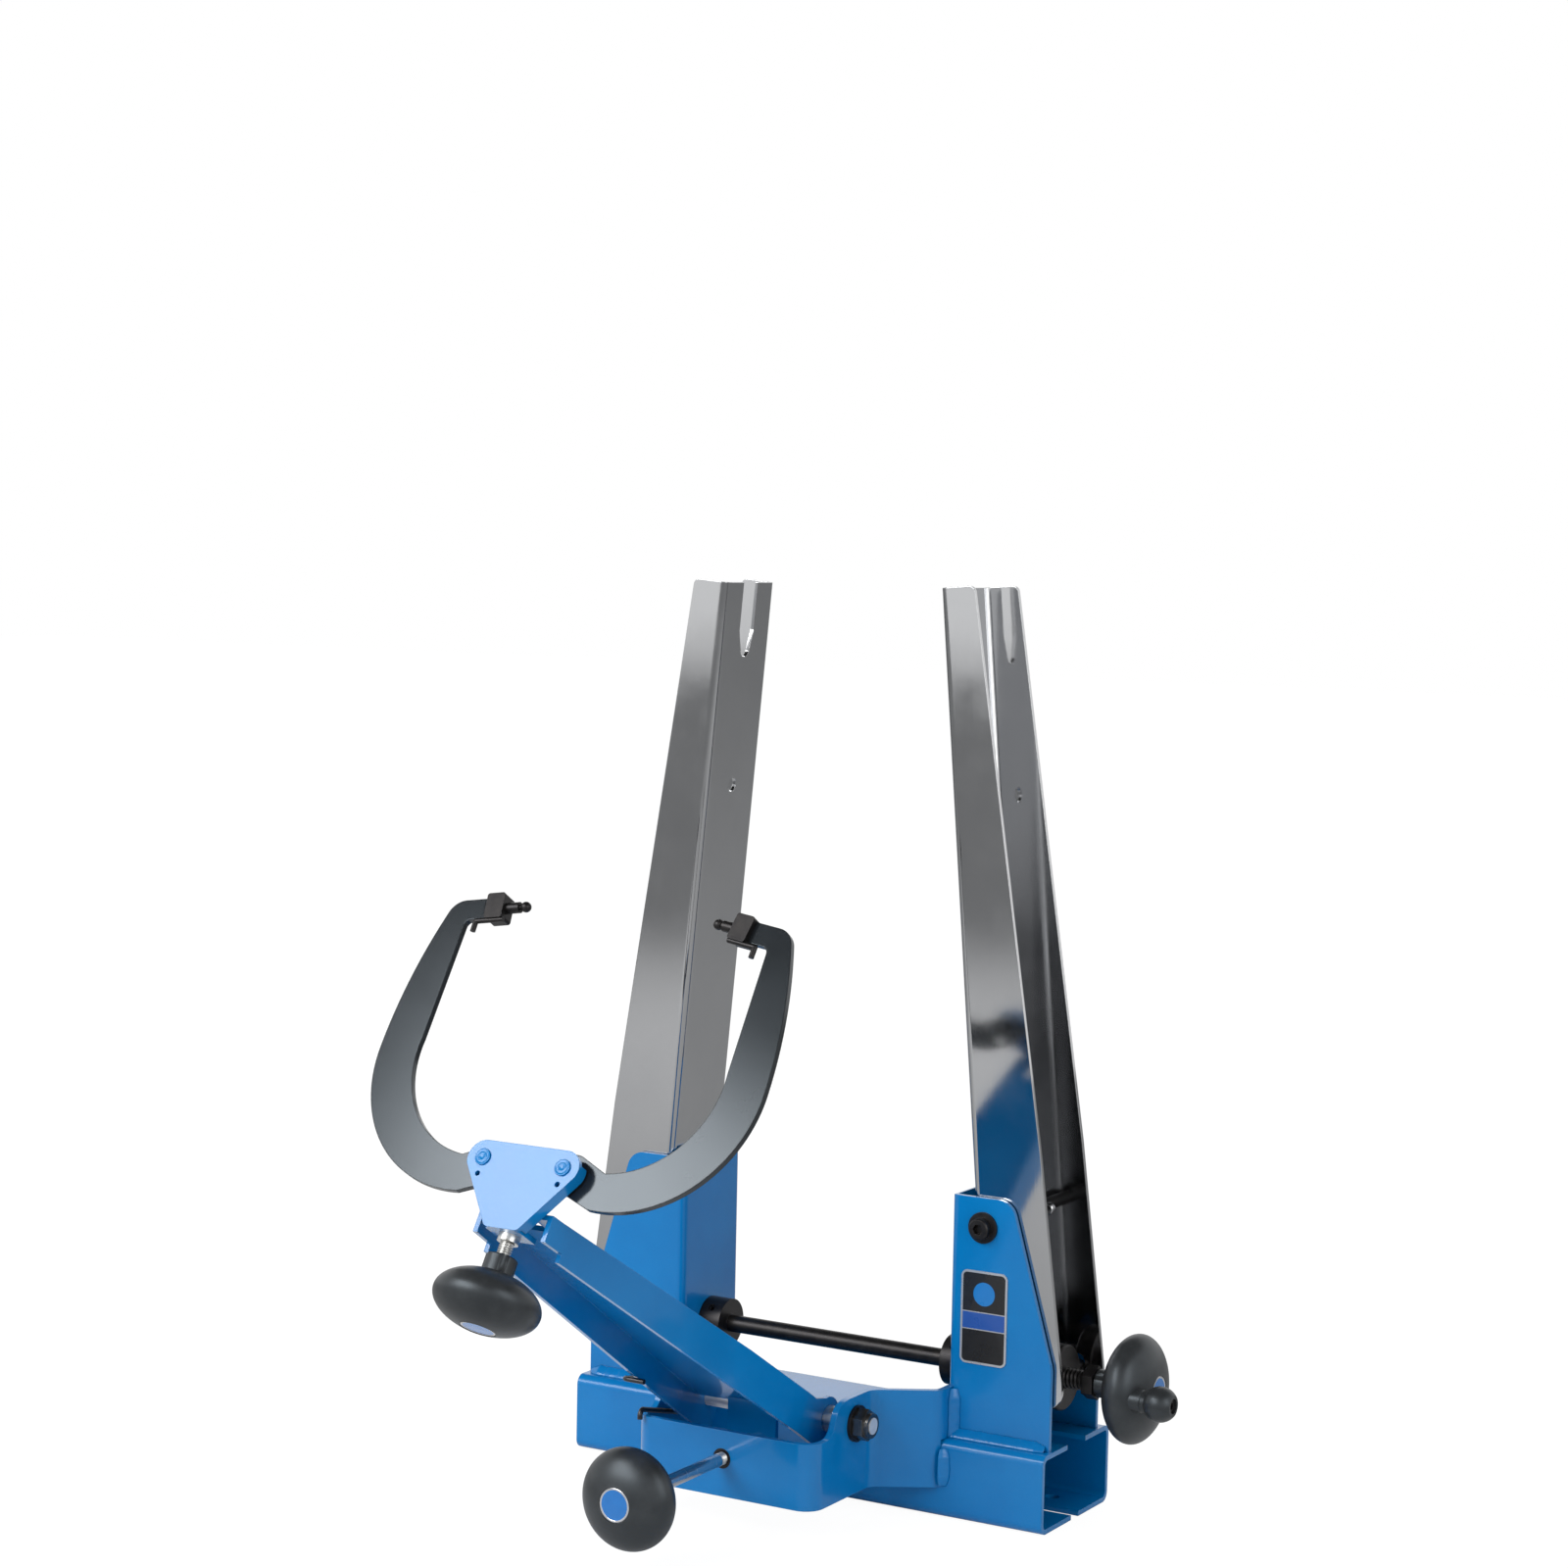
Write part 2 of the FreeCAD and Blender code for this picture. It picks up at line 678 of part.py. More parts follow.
def spinner_handle(axis_at):
    stem = spinner_stem_dia / 2.0
    neck = spinner_neck_dia / 2.0
    ball = spinner_ball_dia / 2.0
    bore = spinner_screw_dia / 2.0 + running
    recess = spinner_head_dia / 2.0 + 0.3
    ball_at = spinner_length - ball
    neck_at = ball_at - math.sqrt(ball * ball - neck * neck)
    flat = spinner_length - spinner_flat
    rim = math.sqrt(ball * ball - (flat - ball_at) ** 2)
    floor_at = flat - spinner_head_height - spinner_head_sink
    ring = Part.Circle(Vector(0, 0, ball_at), Y, ball)
    ends = sorted([ring.parameter(Vector(neck, 0, neck_at)), ring.parameter(Vector(rim, 0, flat))])
    bulge = Part.ArcOfCircle(ring, ends[0], ends[1]).toShape()
    if bulge.Length > math.pi * ball:
        bulge = Part.ArcOfCircle(ring, ends[1], ends[0] + 2.0 * math.pi).toShape()
    corners = [Vector(rim, 0, flat), Vector(recess, 0, flat), Vector(recess, 0, floor_at),
               Vector(bore, 0, floor_at), Vector(bore, 0, 0), Vector(stem, 0, 0), Vector(neck, 0, neck_at)]
    wire = Part.Wire([Part.makePolygon(corners), bulge])
    body = Part.Face(wire).revolve(Vector(0, 0, 0), Z, 360)
    body.Placement = Placement(axis_at + X * face_gap, Rotation(Z, X))
    return body


def spinner_screw(axis_at):
    seat = 2 * face_gap + spinner_length - spinner_flat - spinner_head_height - spinner_head_sink
    depth = spinner_screw_depth(axis_at)
    shank = rod(spinner_screw_dia, seat + depth, axis_at - X * depth, X)
    head = rod(spinner_head_dia, spinner_head_height, axis_at + X * seat, X)
    socket = hex_prism(4.0, 4.0, axis_at + X * (seat + spinner_head_height - 2.6), X)
    return shank.fuse(head).cut(socket).removeSplitter()


def spinner_screw_depth(axis_at):
    return (axis_at.x - end_nut_x - end_nut_width - knob_centre_offset()) * 0.8


def knob_centre_offset():
    return main_hub_length + main_knob_swell * math.sqrt(1.0 - (main_hub_dia / main_knob_dia) ** 2)


# Yoke: one bent strip, cut where it meets the base and the brackets
def yoke():
    t = yoke_sheet
    half = yoke_half
    front = yoke_front_y
    out_half = bracket_inner_half + bracket_sheet
    reach_x = yoke_end_x + 1.0
    end_y = -out_half + bracket_bend
    outer = [(-yoke_end_x, end_y, 0), (-yoke_end_x, yoke_flare_y, yoke_end_bend), (-half, yoke_wall_back_y, 10),
             (-half, front, yoke_corner), (half, front, yoke_corner), (half, yoke_wall_back_y, 10),
             (yoke_end_x, yoke_flare_y, yoke_end_bend), (yoke_end_x, end_y, 0)]
    path = offset_strip(outer, t)
    rise = yoke_side_top_z - yoke_bottom_z
    body = Part.Face(path).extrude(Z * rise)
    body.translate(Z * yoke_bottom_z)
    ramp = [Vector(-reach_x, front - 1, yoke_front_top_z), Vector(-reach_x, front + 15, yoke_front_top_z)]
    curve = Part.BSplineCurve()
    top = yoke_side_top_z
    low = yoke_front_top_z
    curve.interpolate([Vector(-reach_x, front + 15, low), Vector(-reach_x, front + 28, low + 0.72 * (top - low)),
                       Vector(-reach_x, front + 44, top)],
                      InitialTangent=Y, FinalTangent=Y)
    edges = [Part.makeLine(ramp[0], ramp[1]), curve.toShape(),
             Part.makeLine(Vector(-reach_x, front + 44, top), Vector(-reach_x, front + 44, top + 10)),
             Part.makeLine(Vector(-reach_x, front + 44, top + 10), Vector(-reach_x, front - 1, top + 10)),
             Part.makeLine(Vector(-reach_x, front - 1, top + 10), ramp[0])]
    body = body.cut(Part.Face(Part.Wire(edges)).extrude(X * 2 * reach_x))
    sides = rounded(bracket_plan(), at(0), Z * (top + 1))
    body = body.cut(sides).cut(mirrored(sides))
    body = body.cut(box(-reach_x - 1, reach_x + 1, -base_depth / 2.0, 0, 0, base_height))
    hole = arm_bolt_dia + 2 * running
    body = body.cut(rod(hole, 2 * half + 2, Vector(-half - 1, arm_pivot_y, arm_pivot_z), X))
    sleeve = screw_dia + 2 * running + 2 * screw_bush_wall
    body = body.cut(rod(sleeve, t + 2, Vector(0, front - 1, lower_screw_z), Y))
    return max(body.Solids, key=lambda s: s.Volume)


def offset_strip(outer, thick):
    """Closed wire of a strip: its outer line through rounded corners, and the same line inset."""
    def line_normal(a, b):
        d = Vector(b[0] - a[0], b[1] - a[1], 0).normalize()
        return Vector(-d.y, d.x, 0)
    count = len(outer)
    inner = []
    for i in range(count):
        p = Vector(outer[i][0], outer[i][1], 0)
        radius = outer[i][2]
        if i == 0:
            n = line_normal(outer[0], outer[1])
            inner.append((p.x + n.x * thick, p.y + n.y * thick, 0))
        elif i == count - 1:
            n = line_normal(outer[-2], outer[-1])
            inner.append((p.x + n.x * thick, p.y + n.y * thick, 0))
        else:
            n1 = line_normal(outer[i - 1], outer[i])
            n2 = line_normal(outer[i], outer[i + 1])
            s = n1 + n2
            k = thick / (1.0 + n1.dot(n2))
            turn = n1.cross(n2).z
            r2 = radius - thick if turn > 0 else radius + thick
            inner.append((p.x + s.x * k, p.y + s.y * k, max(r2, 1.0)))
    return round_polygon(outer + inner[::-1], at(0))


def lower_bush():
    bore = screw_dia + 2 * running
    sleeve = bore + 2 * screw_bush_wall
    start = yoke_front_y
    body = rod(sleeve, yoke_sheet, Vector(0, start, lower_screw_z), Y)
    body = body.fuse(rod(sleeve + 2 * lower_bush_flange, screw_bush_length - yoke_sheet,
                         Vector(0, start + yoke_sheet, lower_screw_z), Y))
    return body.removeSplitter().cut(rod(bore, screw_bush_length, Vector(0, start, lower_screw_z), Y))


def arm_bolt():
    seat = yoke_half + arm_washer_thick
    tail = seat + arm_nut_height + arm_bolt_tail
    centre = Vector(0, arm_pivot_y, arm_pivot_z)
    shank = rod(arm_bolt_dia, seat + tail, centre - X * seat, X)
    head = hex_prism(arm_nut_flats, 6.4, centre - X * seat, -X)
    return shank.fuse(head).removeSplitter()


def arm_nut():
    seat = yoke_half + arm_washer_thick
    centre = Vector(seat, arm_pivot_y, arm_pivot_z)
    nut = hex_prism(arm_nut_flats, arm_nut_height * 0.72, centre, X)
    nut = nut.fuse(rod(arm_nut_flats * 0.88, arm_nut_height * 0.28, centre + X * arm_nut_height * 0.72, X))
    return nut.cut(rod(arm_bolt_dia, arm_nut_height, centre, X))


def arm_washers():
    centre = Vector(0, arm_pivot_y, arm_pivot_z)
    return [tube(arm_washer_dia, arm_bolt_dia, arm_washer_thick, centre + X * start, X)
            for start in (yoke_half, -yoke_half - arm_washer_thick)]


def arm_spacers():
    inner = arm_foot_half + face_gap
    length = yoke_half - yoke_sheet - inner
    centre = Vector(0, arm_pivot_y, arm_pivot_z)
    outer = arm_bolt_dia + 2 * spacer_wall
    return [tube(outer, arm_bolt_dia, length, centre + X * start, X) for start in (inner, -inner - length)]


# Torsion spring round the left spacer: its lower leg hooks over the yoke, its upper leg lies under the arm
def arc_edge(p, t, q):
    """The arc from p to q that starts along t."""
    chord = q - p
    n = chord - t * chord.dot(t)
    if n.Length < 1e-6:
        return Part.makeLine(p, q)
    n.normalize()
    radius = chord.dot(chord) / (2.0 * chord.dot(n))
    centre = p + n * radius
    mid = centre + ((p - centre) + (q - centre)).normalize() * radius
    return Part.Arc(p, mid, q).toShape()


def biarc(p, t, q, s):
    """Two arcs from p along t to q along s, tangent where they join."""
    v = q - p
    k = 2.0 * (1.0 - t.dot(s))
    b = v.dot(t + s)
    d = (-b + math.sqrt(b * b + k * v.dot(v))) / k
    joint = (p + t * d + q - s * d) * 0.5
    turn = (q - s * d - p - t * d).normalize()
    return [arc_edge(p, t, joint), arc_edge(joint, turn, q)]


def arm_spring():
    centre = Vector(0, arm_pivot_y, arm_pivot_z)
    r = spring_radius
    wire = spring_wire
    hook_r = wire * 1.13
    hook = Vector(0, yoke_front_y + wire * 0.375, yoke_front_top_z + wire * 0.1)
    to_coil = centre - hook
    lean = math.atan2(to_coil.z, to_coil.y) - math.asin((hook_r + r) / to_coil.Length)
    lower_dir = Vector(0, math.cos(lean), math.sin(lean))
    lower_n = Vector(0, -math.sin(lean), math.cos(lean))
    rest = arm_place.multVec(Vector(0, arm_web_v - arm_depth - wire / 2.0 - 0.35, spring_rest_w))
    away = rest - centre
    rise = math.atan2(away.z, -away.y) - math.asin(r / away.Length)
    upper_dir = Vector(0, -math.cos(rise), math.sin(rise))
    start = math.atan2(-lower_dir.y, lower_dir.z)
    stop = math.pi / 2.0 - rise
    while stop < start + 2.0 * math.pi * spring_turns:
        stop += 2.0 * math.pi
    wound = stop - start
    ramp = math.pi / 2.0
    x0 = -(yoke_half - yoke_sheet - wire / 2.0 - 0.5)
    x1 = -(arm_foot_half + wire / 2.0 + 0.4)
    slope = (x1 - x0) / (wound - ramp)

    def drift(a):
        if a < ramp:
            return slope * a * a / (2.0 * ramp), slope * a / ramp
        if a > wound - ramp:
            left = wound - a
            return x1 - x0 - slope * left * left / (2.0 * ramp), slope * left / ramp
        return slope * (a - ramp / 2.0), slope

    def coil(a):
        x, dx = drift(a)
        angle = start + a
        point = centre + Vector(x0 + x, r * math.cos(angle), r * math.sin(angle))
        tangent = Vector(dx, -r * math.sin(angle), r * math.cos(angle)).normalize()
        return point, tangent

    tail = Vector(x0, hook.y - hook_r, hook.z - 0.6 * wire)
    hook_low = Vector(x0, hook.y - hook_r, hook.z)
    hook_top = Vector(x0, hook.y, hook.z) + lower_n * hook_r
    edges = [Part.makeLine(tail, hook_low), arc_edge(hook_low, Z, hook_top)]
    pieces = int(round(wound / (math.pi / 2.0)))
    first, _ = coil(0.0)
    edges.append(Part.makeLine(hook_top, first))
    for i in range(pieces):
        p, t = coil(wound * i / pieces)
        q, s = coil(wound * (i + 1) / pieces)
        edges += biarc(p, t, q, s)
    last, _ = coil(wound)
    bend = wire * 1.3
    corner = last + upper_dir * ((rest - last).dot(upper_dir))
    before = corner - upper_dir * bend
    after = corner + X * bend
    end = Vector(-spring_tip_x, corner.y, corner.z)
    edges.append(Part.makeLine(last, before))
    edges.append(arc_edge(before, upper_dir, after))
    edges.append(Part.makeLine(after, end))
    path = Part.Wire(edges)
    ring = Part.Wire(Part.makeCircle(wire / 2.0, tail, Z))
    shell = Part.BRepOffsetAPI.MakePipeShell(path)
    shell.add(ring)
    shell.build()
    shell.makeSolid()
    body = shell.shape()
    body = body if body.Solids else Part.Solid(body)
    points = [p for e in edges for p in e.discretize(Distance=0.8)]
    run = [0.0]
    for i in range(1, len(points)):
        run.append(run[-1] + points[i].distanceToPoint(points[i - 1]))
    least = min(points[i].distanceToPoint(points[j]) for i in range(len(points))
                for j in range(i) if run[i] - run[j] > 4.0 * wire)
    print("arm spring, least gap to itself: %.2f mm" % (least - wire))
    return body


# Caliper arm in its own frame, then placed
def arm_local(point):
    return arm_place.inverse().multVec(point)


def caliper_arm():
    pivot = arm_local(Vector(0, arm_pivot_y, arm_pivot_z))
    end_w = pivot.z - arm_ear_radius
    low_v = arm_web_v - arm_depth
    high_v = pivot.y + arm_ear_radius
    t = arm_sheet
    head = arm_head_half
    foot = arm_foot_half
    outer = [(-head, arm_front_w, 0), (head, arm_front_w, 0), (foot, arm_straight_w, 30),
             (foot, end_w, 0), (-foot, end_w, 0), (-foot, arm_straight_w, 30)]
    inner = [(-head + t, arm_front_w + 1, 0), (head - t, arm_front_w + 1, 0),
             (foot - t, arm_straight_w, 30 - t), (foot - t, end_w - 1, 0), (-foot + t, end_w - 1, 0),
             (-foot + t, arm_straight_w, 30 - t)]

    def lift(v):
        return lambda a, b: Vector(a, v, b)

    body = rounded(outer, lift(low_v), Y * (high_v - low_v))
    body = body.cut(rounded(inner, lift(low_v), Y * (high_v - low_v)))
    web = rounded(outer, lift(arm_web_v - t), Y * t)
    relief = arm_tab_half + 1.5
    web = web.cut(box(-foot, foot, arm_web_v - t - 1, arm_web_v + 1, end_w - 1, arm_web_side_w))
    web = web.cut(box(-relief, relief, arm_web_v - t - 1, arm_web_v + 1, end_w - 1, arm_web_end_w))
    body = body.fuse(web)
    band = box(-foot, foot, low_v, arm_web_v, end_w, arm_front_w)
    ear = rod(2 * arm_ear_radius, 2 * foot, Vector(-foot, pivot.y, pivot.z), X)
    rise = prism([Vector(-foot, arm_web_v, arm_web_end_w + 14), Vector(-foot, high_v, pivot.z),
                  Vector(-foot, arm_web_v - 6, pivot.z), Vector(-foot, arm_web_v - 6, arm_web_end_w + 14)],
                 X * 2 * foot)
    side_v = arm_web_v + arm_side_rise
    sides = prism([Vector(-foot, arm_web_v, arm_side_start_w), Vector(-foot, side_v, arm_side_full_w),
                   Vector(-foot, side_v, arm_web_end_w), Vector(-foot, arm_web_v - 6, arm_web_end_w),
                   Vector(-foot, arm_web_v - 6, arm_side_start_w)], X * 2 * foot)
    corner = box(-foot - 1, foot + 1, low_v - 1, pivot.y, end_w - 1, pivot.z)
    lower_round = rod(2 * (pivot.y - low_v), 2 * foot, Vector(-foot, pivot.y, pivot.z), X)
    corner = corner.cut(ear).cut(lower_round)
    body = body.common(band.fuse(ear).fuse(rise).fuse(sides)).cut(corner)
    tongue = box(-arm_tongue_half, arm_tongue_half, arm_web_v - t, arm_web_v,
                 arm_front_w, -head_sheet)
    body = body.fuse(tongue)
    body = body.cut(box(-arm_window_half, arm_window_half, arm_web_v - t - 1, arm_web_v + 1,
                        arm_window_w, 0))
    notch = box(-foot, foot, low_v - 1, low_v + 5, -27, arm_front_w + 1)
    body = body.cut(notch)
    hole = arm_bolt_dia + 2 * running
    body = body.cut(rod(hole, 2 * foot + 2, Vector(-foot - 1, pivot.y, pivot.z), X))
    body.Placement = arm_place.multiply(body.Placement)
    web_end = arm_place.multVec(Vector(0, arm_web_v, arm_web_end_w))
    tab = box(-arm_tab_half, arm_tab_half, web_end.y - 0.6, web_end.y + arm_sheet - 0.6,
              arm_tab_bottom_z, web_end.z + arm_tab_lap)
    return body.fuse(tab).removeSplitter()


def tab_face_y():
    return arm_place.multVec(Vector(0, arm_web_v, arm_web_end_w)).y - 0.6


def push_pad():
    return rod(pad_dia, pad_thick, Vector(0, tab_face_y(), lower_screw_z), -Y)


# Head plate: a rounded triangle with folded sides and a tab for the upper screw
def head_outline(inset):
    r = head_corner - inset
    u = caliper_pivot_u
    side = Vector(head_foot_half - head_foot_corner - u, head_foot_v + head_foot_corner, 0)
    n = Vector(-side.y, side.x, 0).normalize()
    if n.x < 0:
        n = -n
    foot_r = max(head_foot_corner - inset, 0.5)
    foot = Vector(head_foot_half - head_foot_corner, head_foot_v + head_foot_corner, 0)
    pin = Vector(u, 0, 0)
    top = pin + Vector(0, r, 0)
    bend = pin + (Vector(0, 1, 0) + n).normalize() * r
    side_top = pin + n * r
    side_low = foot + n * foot_r
    low_mid = foot + (Vector(0, -1, 0) + n).normalize() * foot_r
    low = foot + Vector(0, -foot_r, 0)

    def flip(p):
        return Vector(-p.x, p.y, 0)

    edges = [Part.makeLine(flip(top), top), Part.Arc(top, bend, side_top).toShape(),
             Part.makeLine(side_top, side_low), Part.Arc(side_low, low_mid, low).toShape(),
             Part.makeLine(low, flip(low)), Part.Arc(flip(low), flip(low_mid), flip(side_low)).toShape(),
             Part.makeLine(flip(side_low), flip(side_top)),
             Part.Arc(flip(side_top), flip(bend), flip(top)).toShape()]
    return Part.Face(Part.Wire(edges))


def head_plate():
    t = head_sheet
    plate = head_outline(0).extrude(Z * -t)
    skirt = head_outline(0).extrude(Z * -head_flange).cut(head_outline(t).extrude(Z * -head_flange))
    skirt = skirt.cut(box(-60, 60, 3.0, 40, -head_flange - 1, 1))
    skirt = skirt.cut(box(-head_tab_half - 0.5, head_tab_half + 0.5, head_foot_v - 1,
                          head_foot_v + t + 0.01, -head_flange - 1, -t))
    body = plate.fuse(skirt)
    tab = box(-head_tab_half, head_tab_half, head_foot_v, head_foot_v + t, -head_tab_depth, -t)
    body = body.fuse(tab)
    for side in (-1, 1):
        u = side * caliper_pivot_u
        body = body.cut(rod(caliper_pin_dia, t + 2, Vector(u, 0, -t - 1), Z))
        body = body.cut(rod(head_rest_dimple, t + 2, Vector(u, -dimple_drop, -t - 1), Z))
    sleeve = screw_dia + 2 * running + 2 * screw_bush_wall
    body = body.cut(rod(sleeve, t + 2, Vector(0, head_foot_v - 1, caliper_w), Y))
    body = body.removeSplitter()
    body.Placement = arm_place.multiply(body.Placement)
    return body


def upper_bush():
    bore = screw_dia + 2 * running
    sleeve = bore + 2 * screw_bush_wall
    t = head_sheet
    body = rod(sleeve, t + screw_bush_stand, Vector(0, head_foot_v - screw_bush_stand, caliper_w), Y)
    body = body.cut(rod(bore, t + screw_bush_stand + 2, Vector(0, head_foot_v - screw_bush_stand - 1, caliper_w), Y))
    body.Placement = arm_place.multiply(body.Placement)
    return body


def caliper_pins():
    back = caliper_w - caliper_sheet / 2.0 - face_gap - pin_washer_thick - pin_nut_height - 1.5
    out = []
    for side in (-1, 1):
        u = side * caliper_pivot_u
        pin = rod(caliper_pin_dia, -back, Vector(u, 0, back), Z)
        head = rod(pin_head_dia, 0.8, Vector(u, 0, 0), Z)
        front = -head_sheet
        gap = -(caliper_w + caliper_sheet / 2.0 + face_gap) + front
        shoulder = rod(pin_head_dia + 3, gap, Vector(u, 0, front), -Z)
        body = pin.fuse(head).fuse(shoulder).removeSplitter()
        body.Placement = arm_place.multiply(body.Placement)
        out.append(body)
    return out


def caliper_nuts():
    face = caliper_w - caliper_sheet / 2.0 - face_gap
    out = []
    for side in (-1, 1):
        u = side * caliper_pivot_u
        washer = rod(pin_washer_dia, pin_washer_thick, Vector(u, 0, face), -Z)
        nut = hex_prism(pin_nut_flats, pin_nut_height, Vector(u, 0, face - pin_washer_thick), -Z)
        body = washer.fuse(nut)
        depth = pin_washer_thick + pin_nut_height + 1
        body = body.cut(rod(caliper_pin_dia, depth + 1, Vector(u, 0, face + 1), -Z)).removeSplitter()
        body.Placement = arm_place.multiply(body.Placement)
        out.append(body)
    return out


# Caliper: a hooked plate that swings on its pivot, bows outward and ends in the nose for the tip
def nose_place():
    return Placement(Vector(caliper_nose_u, caliper_nose_v, 0), Rotation(Z, -caliper_nose_tilt))


def bend_middle(corner, first, second, run):
    half = first.getAngle(second) / 2.0
    return corner + (first + second).normalize() * (run * (1 - math.sin(half)) / math.cos(half))


def caliper_outline():
    pu = caliper_pivot_u
    lean = math.radians(caliper_side_lean)
    ro = caliper_outer_radius
    oc = Vector(caliper_outer_u, caliper_outer_v, 0)
    side_low = oc + Vector(ro, 0, 0)
    rs = caliper_side_radius
    side_mid_dir = Vector(math.cos(lean / 2.0), math.sin(lean / 2.0), 0)
    sc = side_low - Vector(rs, 0, 0)
    side_mid = sc + side_mid_dir * rs
    side_high = sc + Vector(math.cos(lean), math.sin(lean), 0) * rs
    up = Vector(-math.sin(lean), math.cos(lean), 0)
    nose = nose_place()
    along = nose.Rotation.multVec(X)
    nose_top = nose.multVec(Vector(0, caliper_nose_width / 2.0, 0))
    nose_low = nose.multVec(Vector(0, -caliper_nose_width / 2.0, 0))
    offset = nose_top - side_high
    reach = (offset.x * along.y - offset.y * along.x) / (up.x * along.y - up.y * along.x)
    corner = side_high + up * reach
    root_angle = math.radians(-95.0)
    root = oc + Vector(ro * math.cos(root_angle), ro * math.sin(root_angle), 0)
    mid_angle = math.radians(-47.0)
    outer_mid = oc + Vector(ro * math.cos(mid_angle), ro * math.sin(mid_angle), 0)
    ri = caliper_inner_radius
    ic = Vector(caliper_inner_u, caliper_inner_v, 0)
    inner_side = ic + Vector(ri * math.cos(math.radians(5)), ri * math.sin(math.radians(5)), 0)
    inner_root = ic + Vector(ri * math.cos(math.radians(-85)), ri * math.sin(math.radians(-85)), 0)
    inner_mid = ic + Vector(ri * math.cos(math.radians(-40)), ri * math.sin(math.radians(-40)), 0)
    inner_top = nose_low + along * ((caliper_inner_top_u - nose_low.x) / along.x)
    r = caliper_corner
    a = corner - up * r
    b = corner - along * r
    m = bend_middle(corner, -along, -up, r)
    s = caliper_inner_corner
    down = (inner_side - inner_top).normalize()
    c = inner_top - along * s
    d = inner_top + down * s
    e = bend_middle(inner_top, -along, down, s)
    pivot = Vector(pu, 0, 0)
    boss = caliper_boss
    boss_low = pivot + Vector(0.05, -boss, 0)
    boss_high = pivot + Vector(5.5, math.sqrt(boss * boss - 30.25), 0)
    lever_top = Vector(caliper_lever_u, caliper_lever_radius, 0)
    lever_low = Vector(caliper_lever_u, -caliper_lever_radius, 0)
    boss_left_high = pivot + Vector(-8.0, math.sqrt(boss * boss - 64.0), 0)
    low_run = math.sqrt(boss * boss - caliper_lever_radius ** 2)
    boss_left_low = pivot + Vector(-low_run, -caliper_lever_radius, 0)
    boss_top_mid = pivot + Vector(0, boss, 0)
    low_mid_angle = (math.atan2(-caliper_lever_radius, -low_run) + math.atan2(-boss, 0.05)) / 2.0
    boss_low_mid = pivot + Vector(boss * math.cos(low_mid_angle), boss * math.sin(low_mid_angle), 0)
    lever_end = Vector(caliper_lever_u - caliper_lever_radius, 0, 0)
    edges = [
        Part.makeLine(boss_low, root),
        Part.Arc(root, outer_mid, side_low).toShape(),
        Part.Arc(side_low, side_mid, side_high).toShape(),
        Part.makeLine(side_high, a),
        Part.Arc(a, m, b).toShape(),
        Part.makeLine(b, nose_top),
        Part.makeLine(nose_top, nose_low),
        Part.makeLine(nose_low, c),
        Part.Arc(c, e, d).toShape(),
        Part.makeLine(d, inner_side),
        Part.Arc(inner_side, inner_mid, inner_root).toShape(),
        Part.makeLine(inner_root, boss_high),
        Part.Arc(boss_high, boss_top_mid, boss_left_high).toShape(),
        Part.makeLine(boss_left_high, lever_top),
        Part.Arc(lever_top, lever_end, lever_low).toShape(),
        Part.makeLine(lever_low, boss_left_low),
        Part.Arc(boss_left_low, boss_low_mid, boss_low).toShape()]
    return Part.Face(Part.Wire(edges))


def caliper():
    body = caliper_outline().extrude(Z * caliper_sheet)
    body.translate(Z * (caliper_w - caliper_sheet / 2.0))
    bore = caliper_pin_dia + 2 * running
    body = body.cut(rod(bore, 60, Vector(caliper_pivot_u, 0, caliper_w - 30), Z))
    body.Placement = arm_place.multiply(body.Placement)
    return body


def tip_block():
    tall = caliper_nose_width / 2.0 + tip_block_over
    half = tip_block_thick / 2.0
    lift = lambda a, b: Vector(a, b, caliper_w - half)
    end = tip_block_length - tip_block_ahead
    corners = [(-tip_block_ahead, -tall, 1.5), (end, -tall, 1.5), (end, tall, 1.5), (-tip_block_ahead, tall, 1.5)]
    body = rounded(corners, lift, Z * tip_block_thick)
    slot = box(0, end + 1, -caliper_nose_width / 2.0, caliper_nose_width / 2.0,
               caliper_w - caliper_sheet / 2.0, caliper_w + caliper_sheet / 2.0)
    body = body.cut(slot).cut(rod(feeler_dia, tip_block_length + 2, feeler_axis() - X, X))
    body.Placement = arm_place.multiply(nose_place()).multiply(body.Placement)
    return body


def feeler_axis():
    low = -caliper_nose_width / 2.0 - feeler_gap
    return Vector(-tip_block_ahead, low - feeler_dia / 2.0, caliper_w + feeler_front)


def tip_pin():
    start = Vector(-tip_block_ahead, 0, caliper_w)
    body = rod(tip_pin_dia, tip_pin_reach * 0.55, start, -X)
    body = body.fuse(rod(tip_pin_dia * 0.55, tip_pin_reach * 0.8, start, -X))
    body = body.fuse(Part.makeSphere(tip_ball_dia / 2.0, start - X * (tip_pin_reach - tip_ball_dia / 2.0)))
    body.Placement = arm_place.multiply(nose_place()).multiply(body.Placement)
    return body


def feeler():
    start = feeler_axis()
    end = start + X * feeler_length
    body = rod(feeler_dia, feeler_length, start, X)
    body = body.fuse(Part.makeSphere(feeler_dia / 2.0, end))
    hook = Vector(0.12, -1, 0).normalize()
    body = body.fuse(rod(feeler_dia, feeler_drop, end, hook))
    body.Placement = arm_place.multiply(nose_place()).multiply(body.Placement)
    return body


# Upper screw: its block pushes both caliper levers
def push_block():
    top = -caliper_lever_radius - push_gap
    body = rod(push_block_dia, push_block_height, Vector(0, top, caliper_w), -Y)
    body.Placement = arm_place.multiply(body.Placement)
    return body


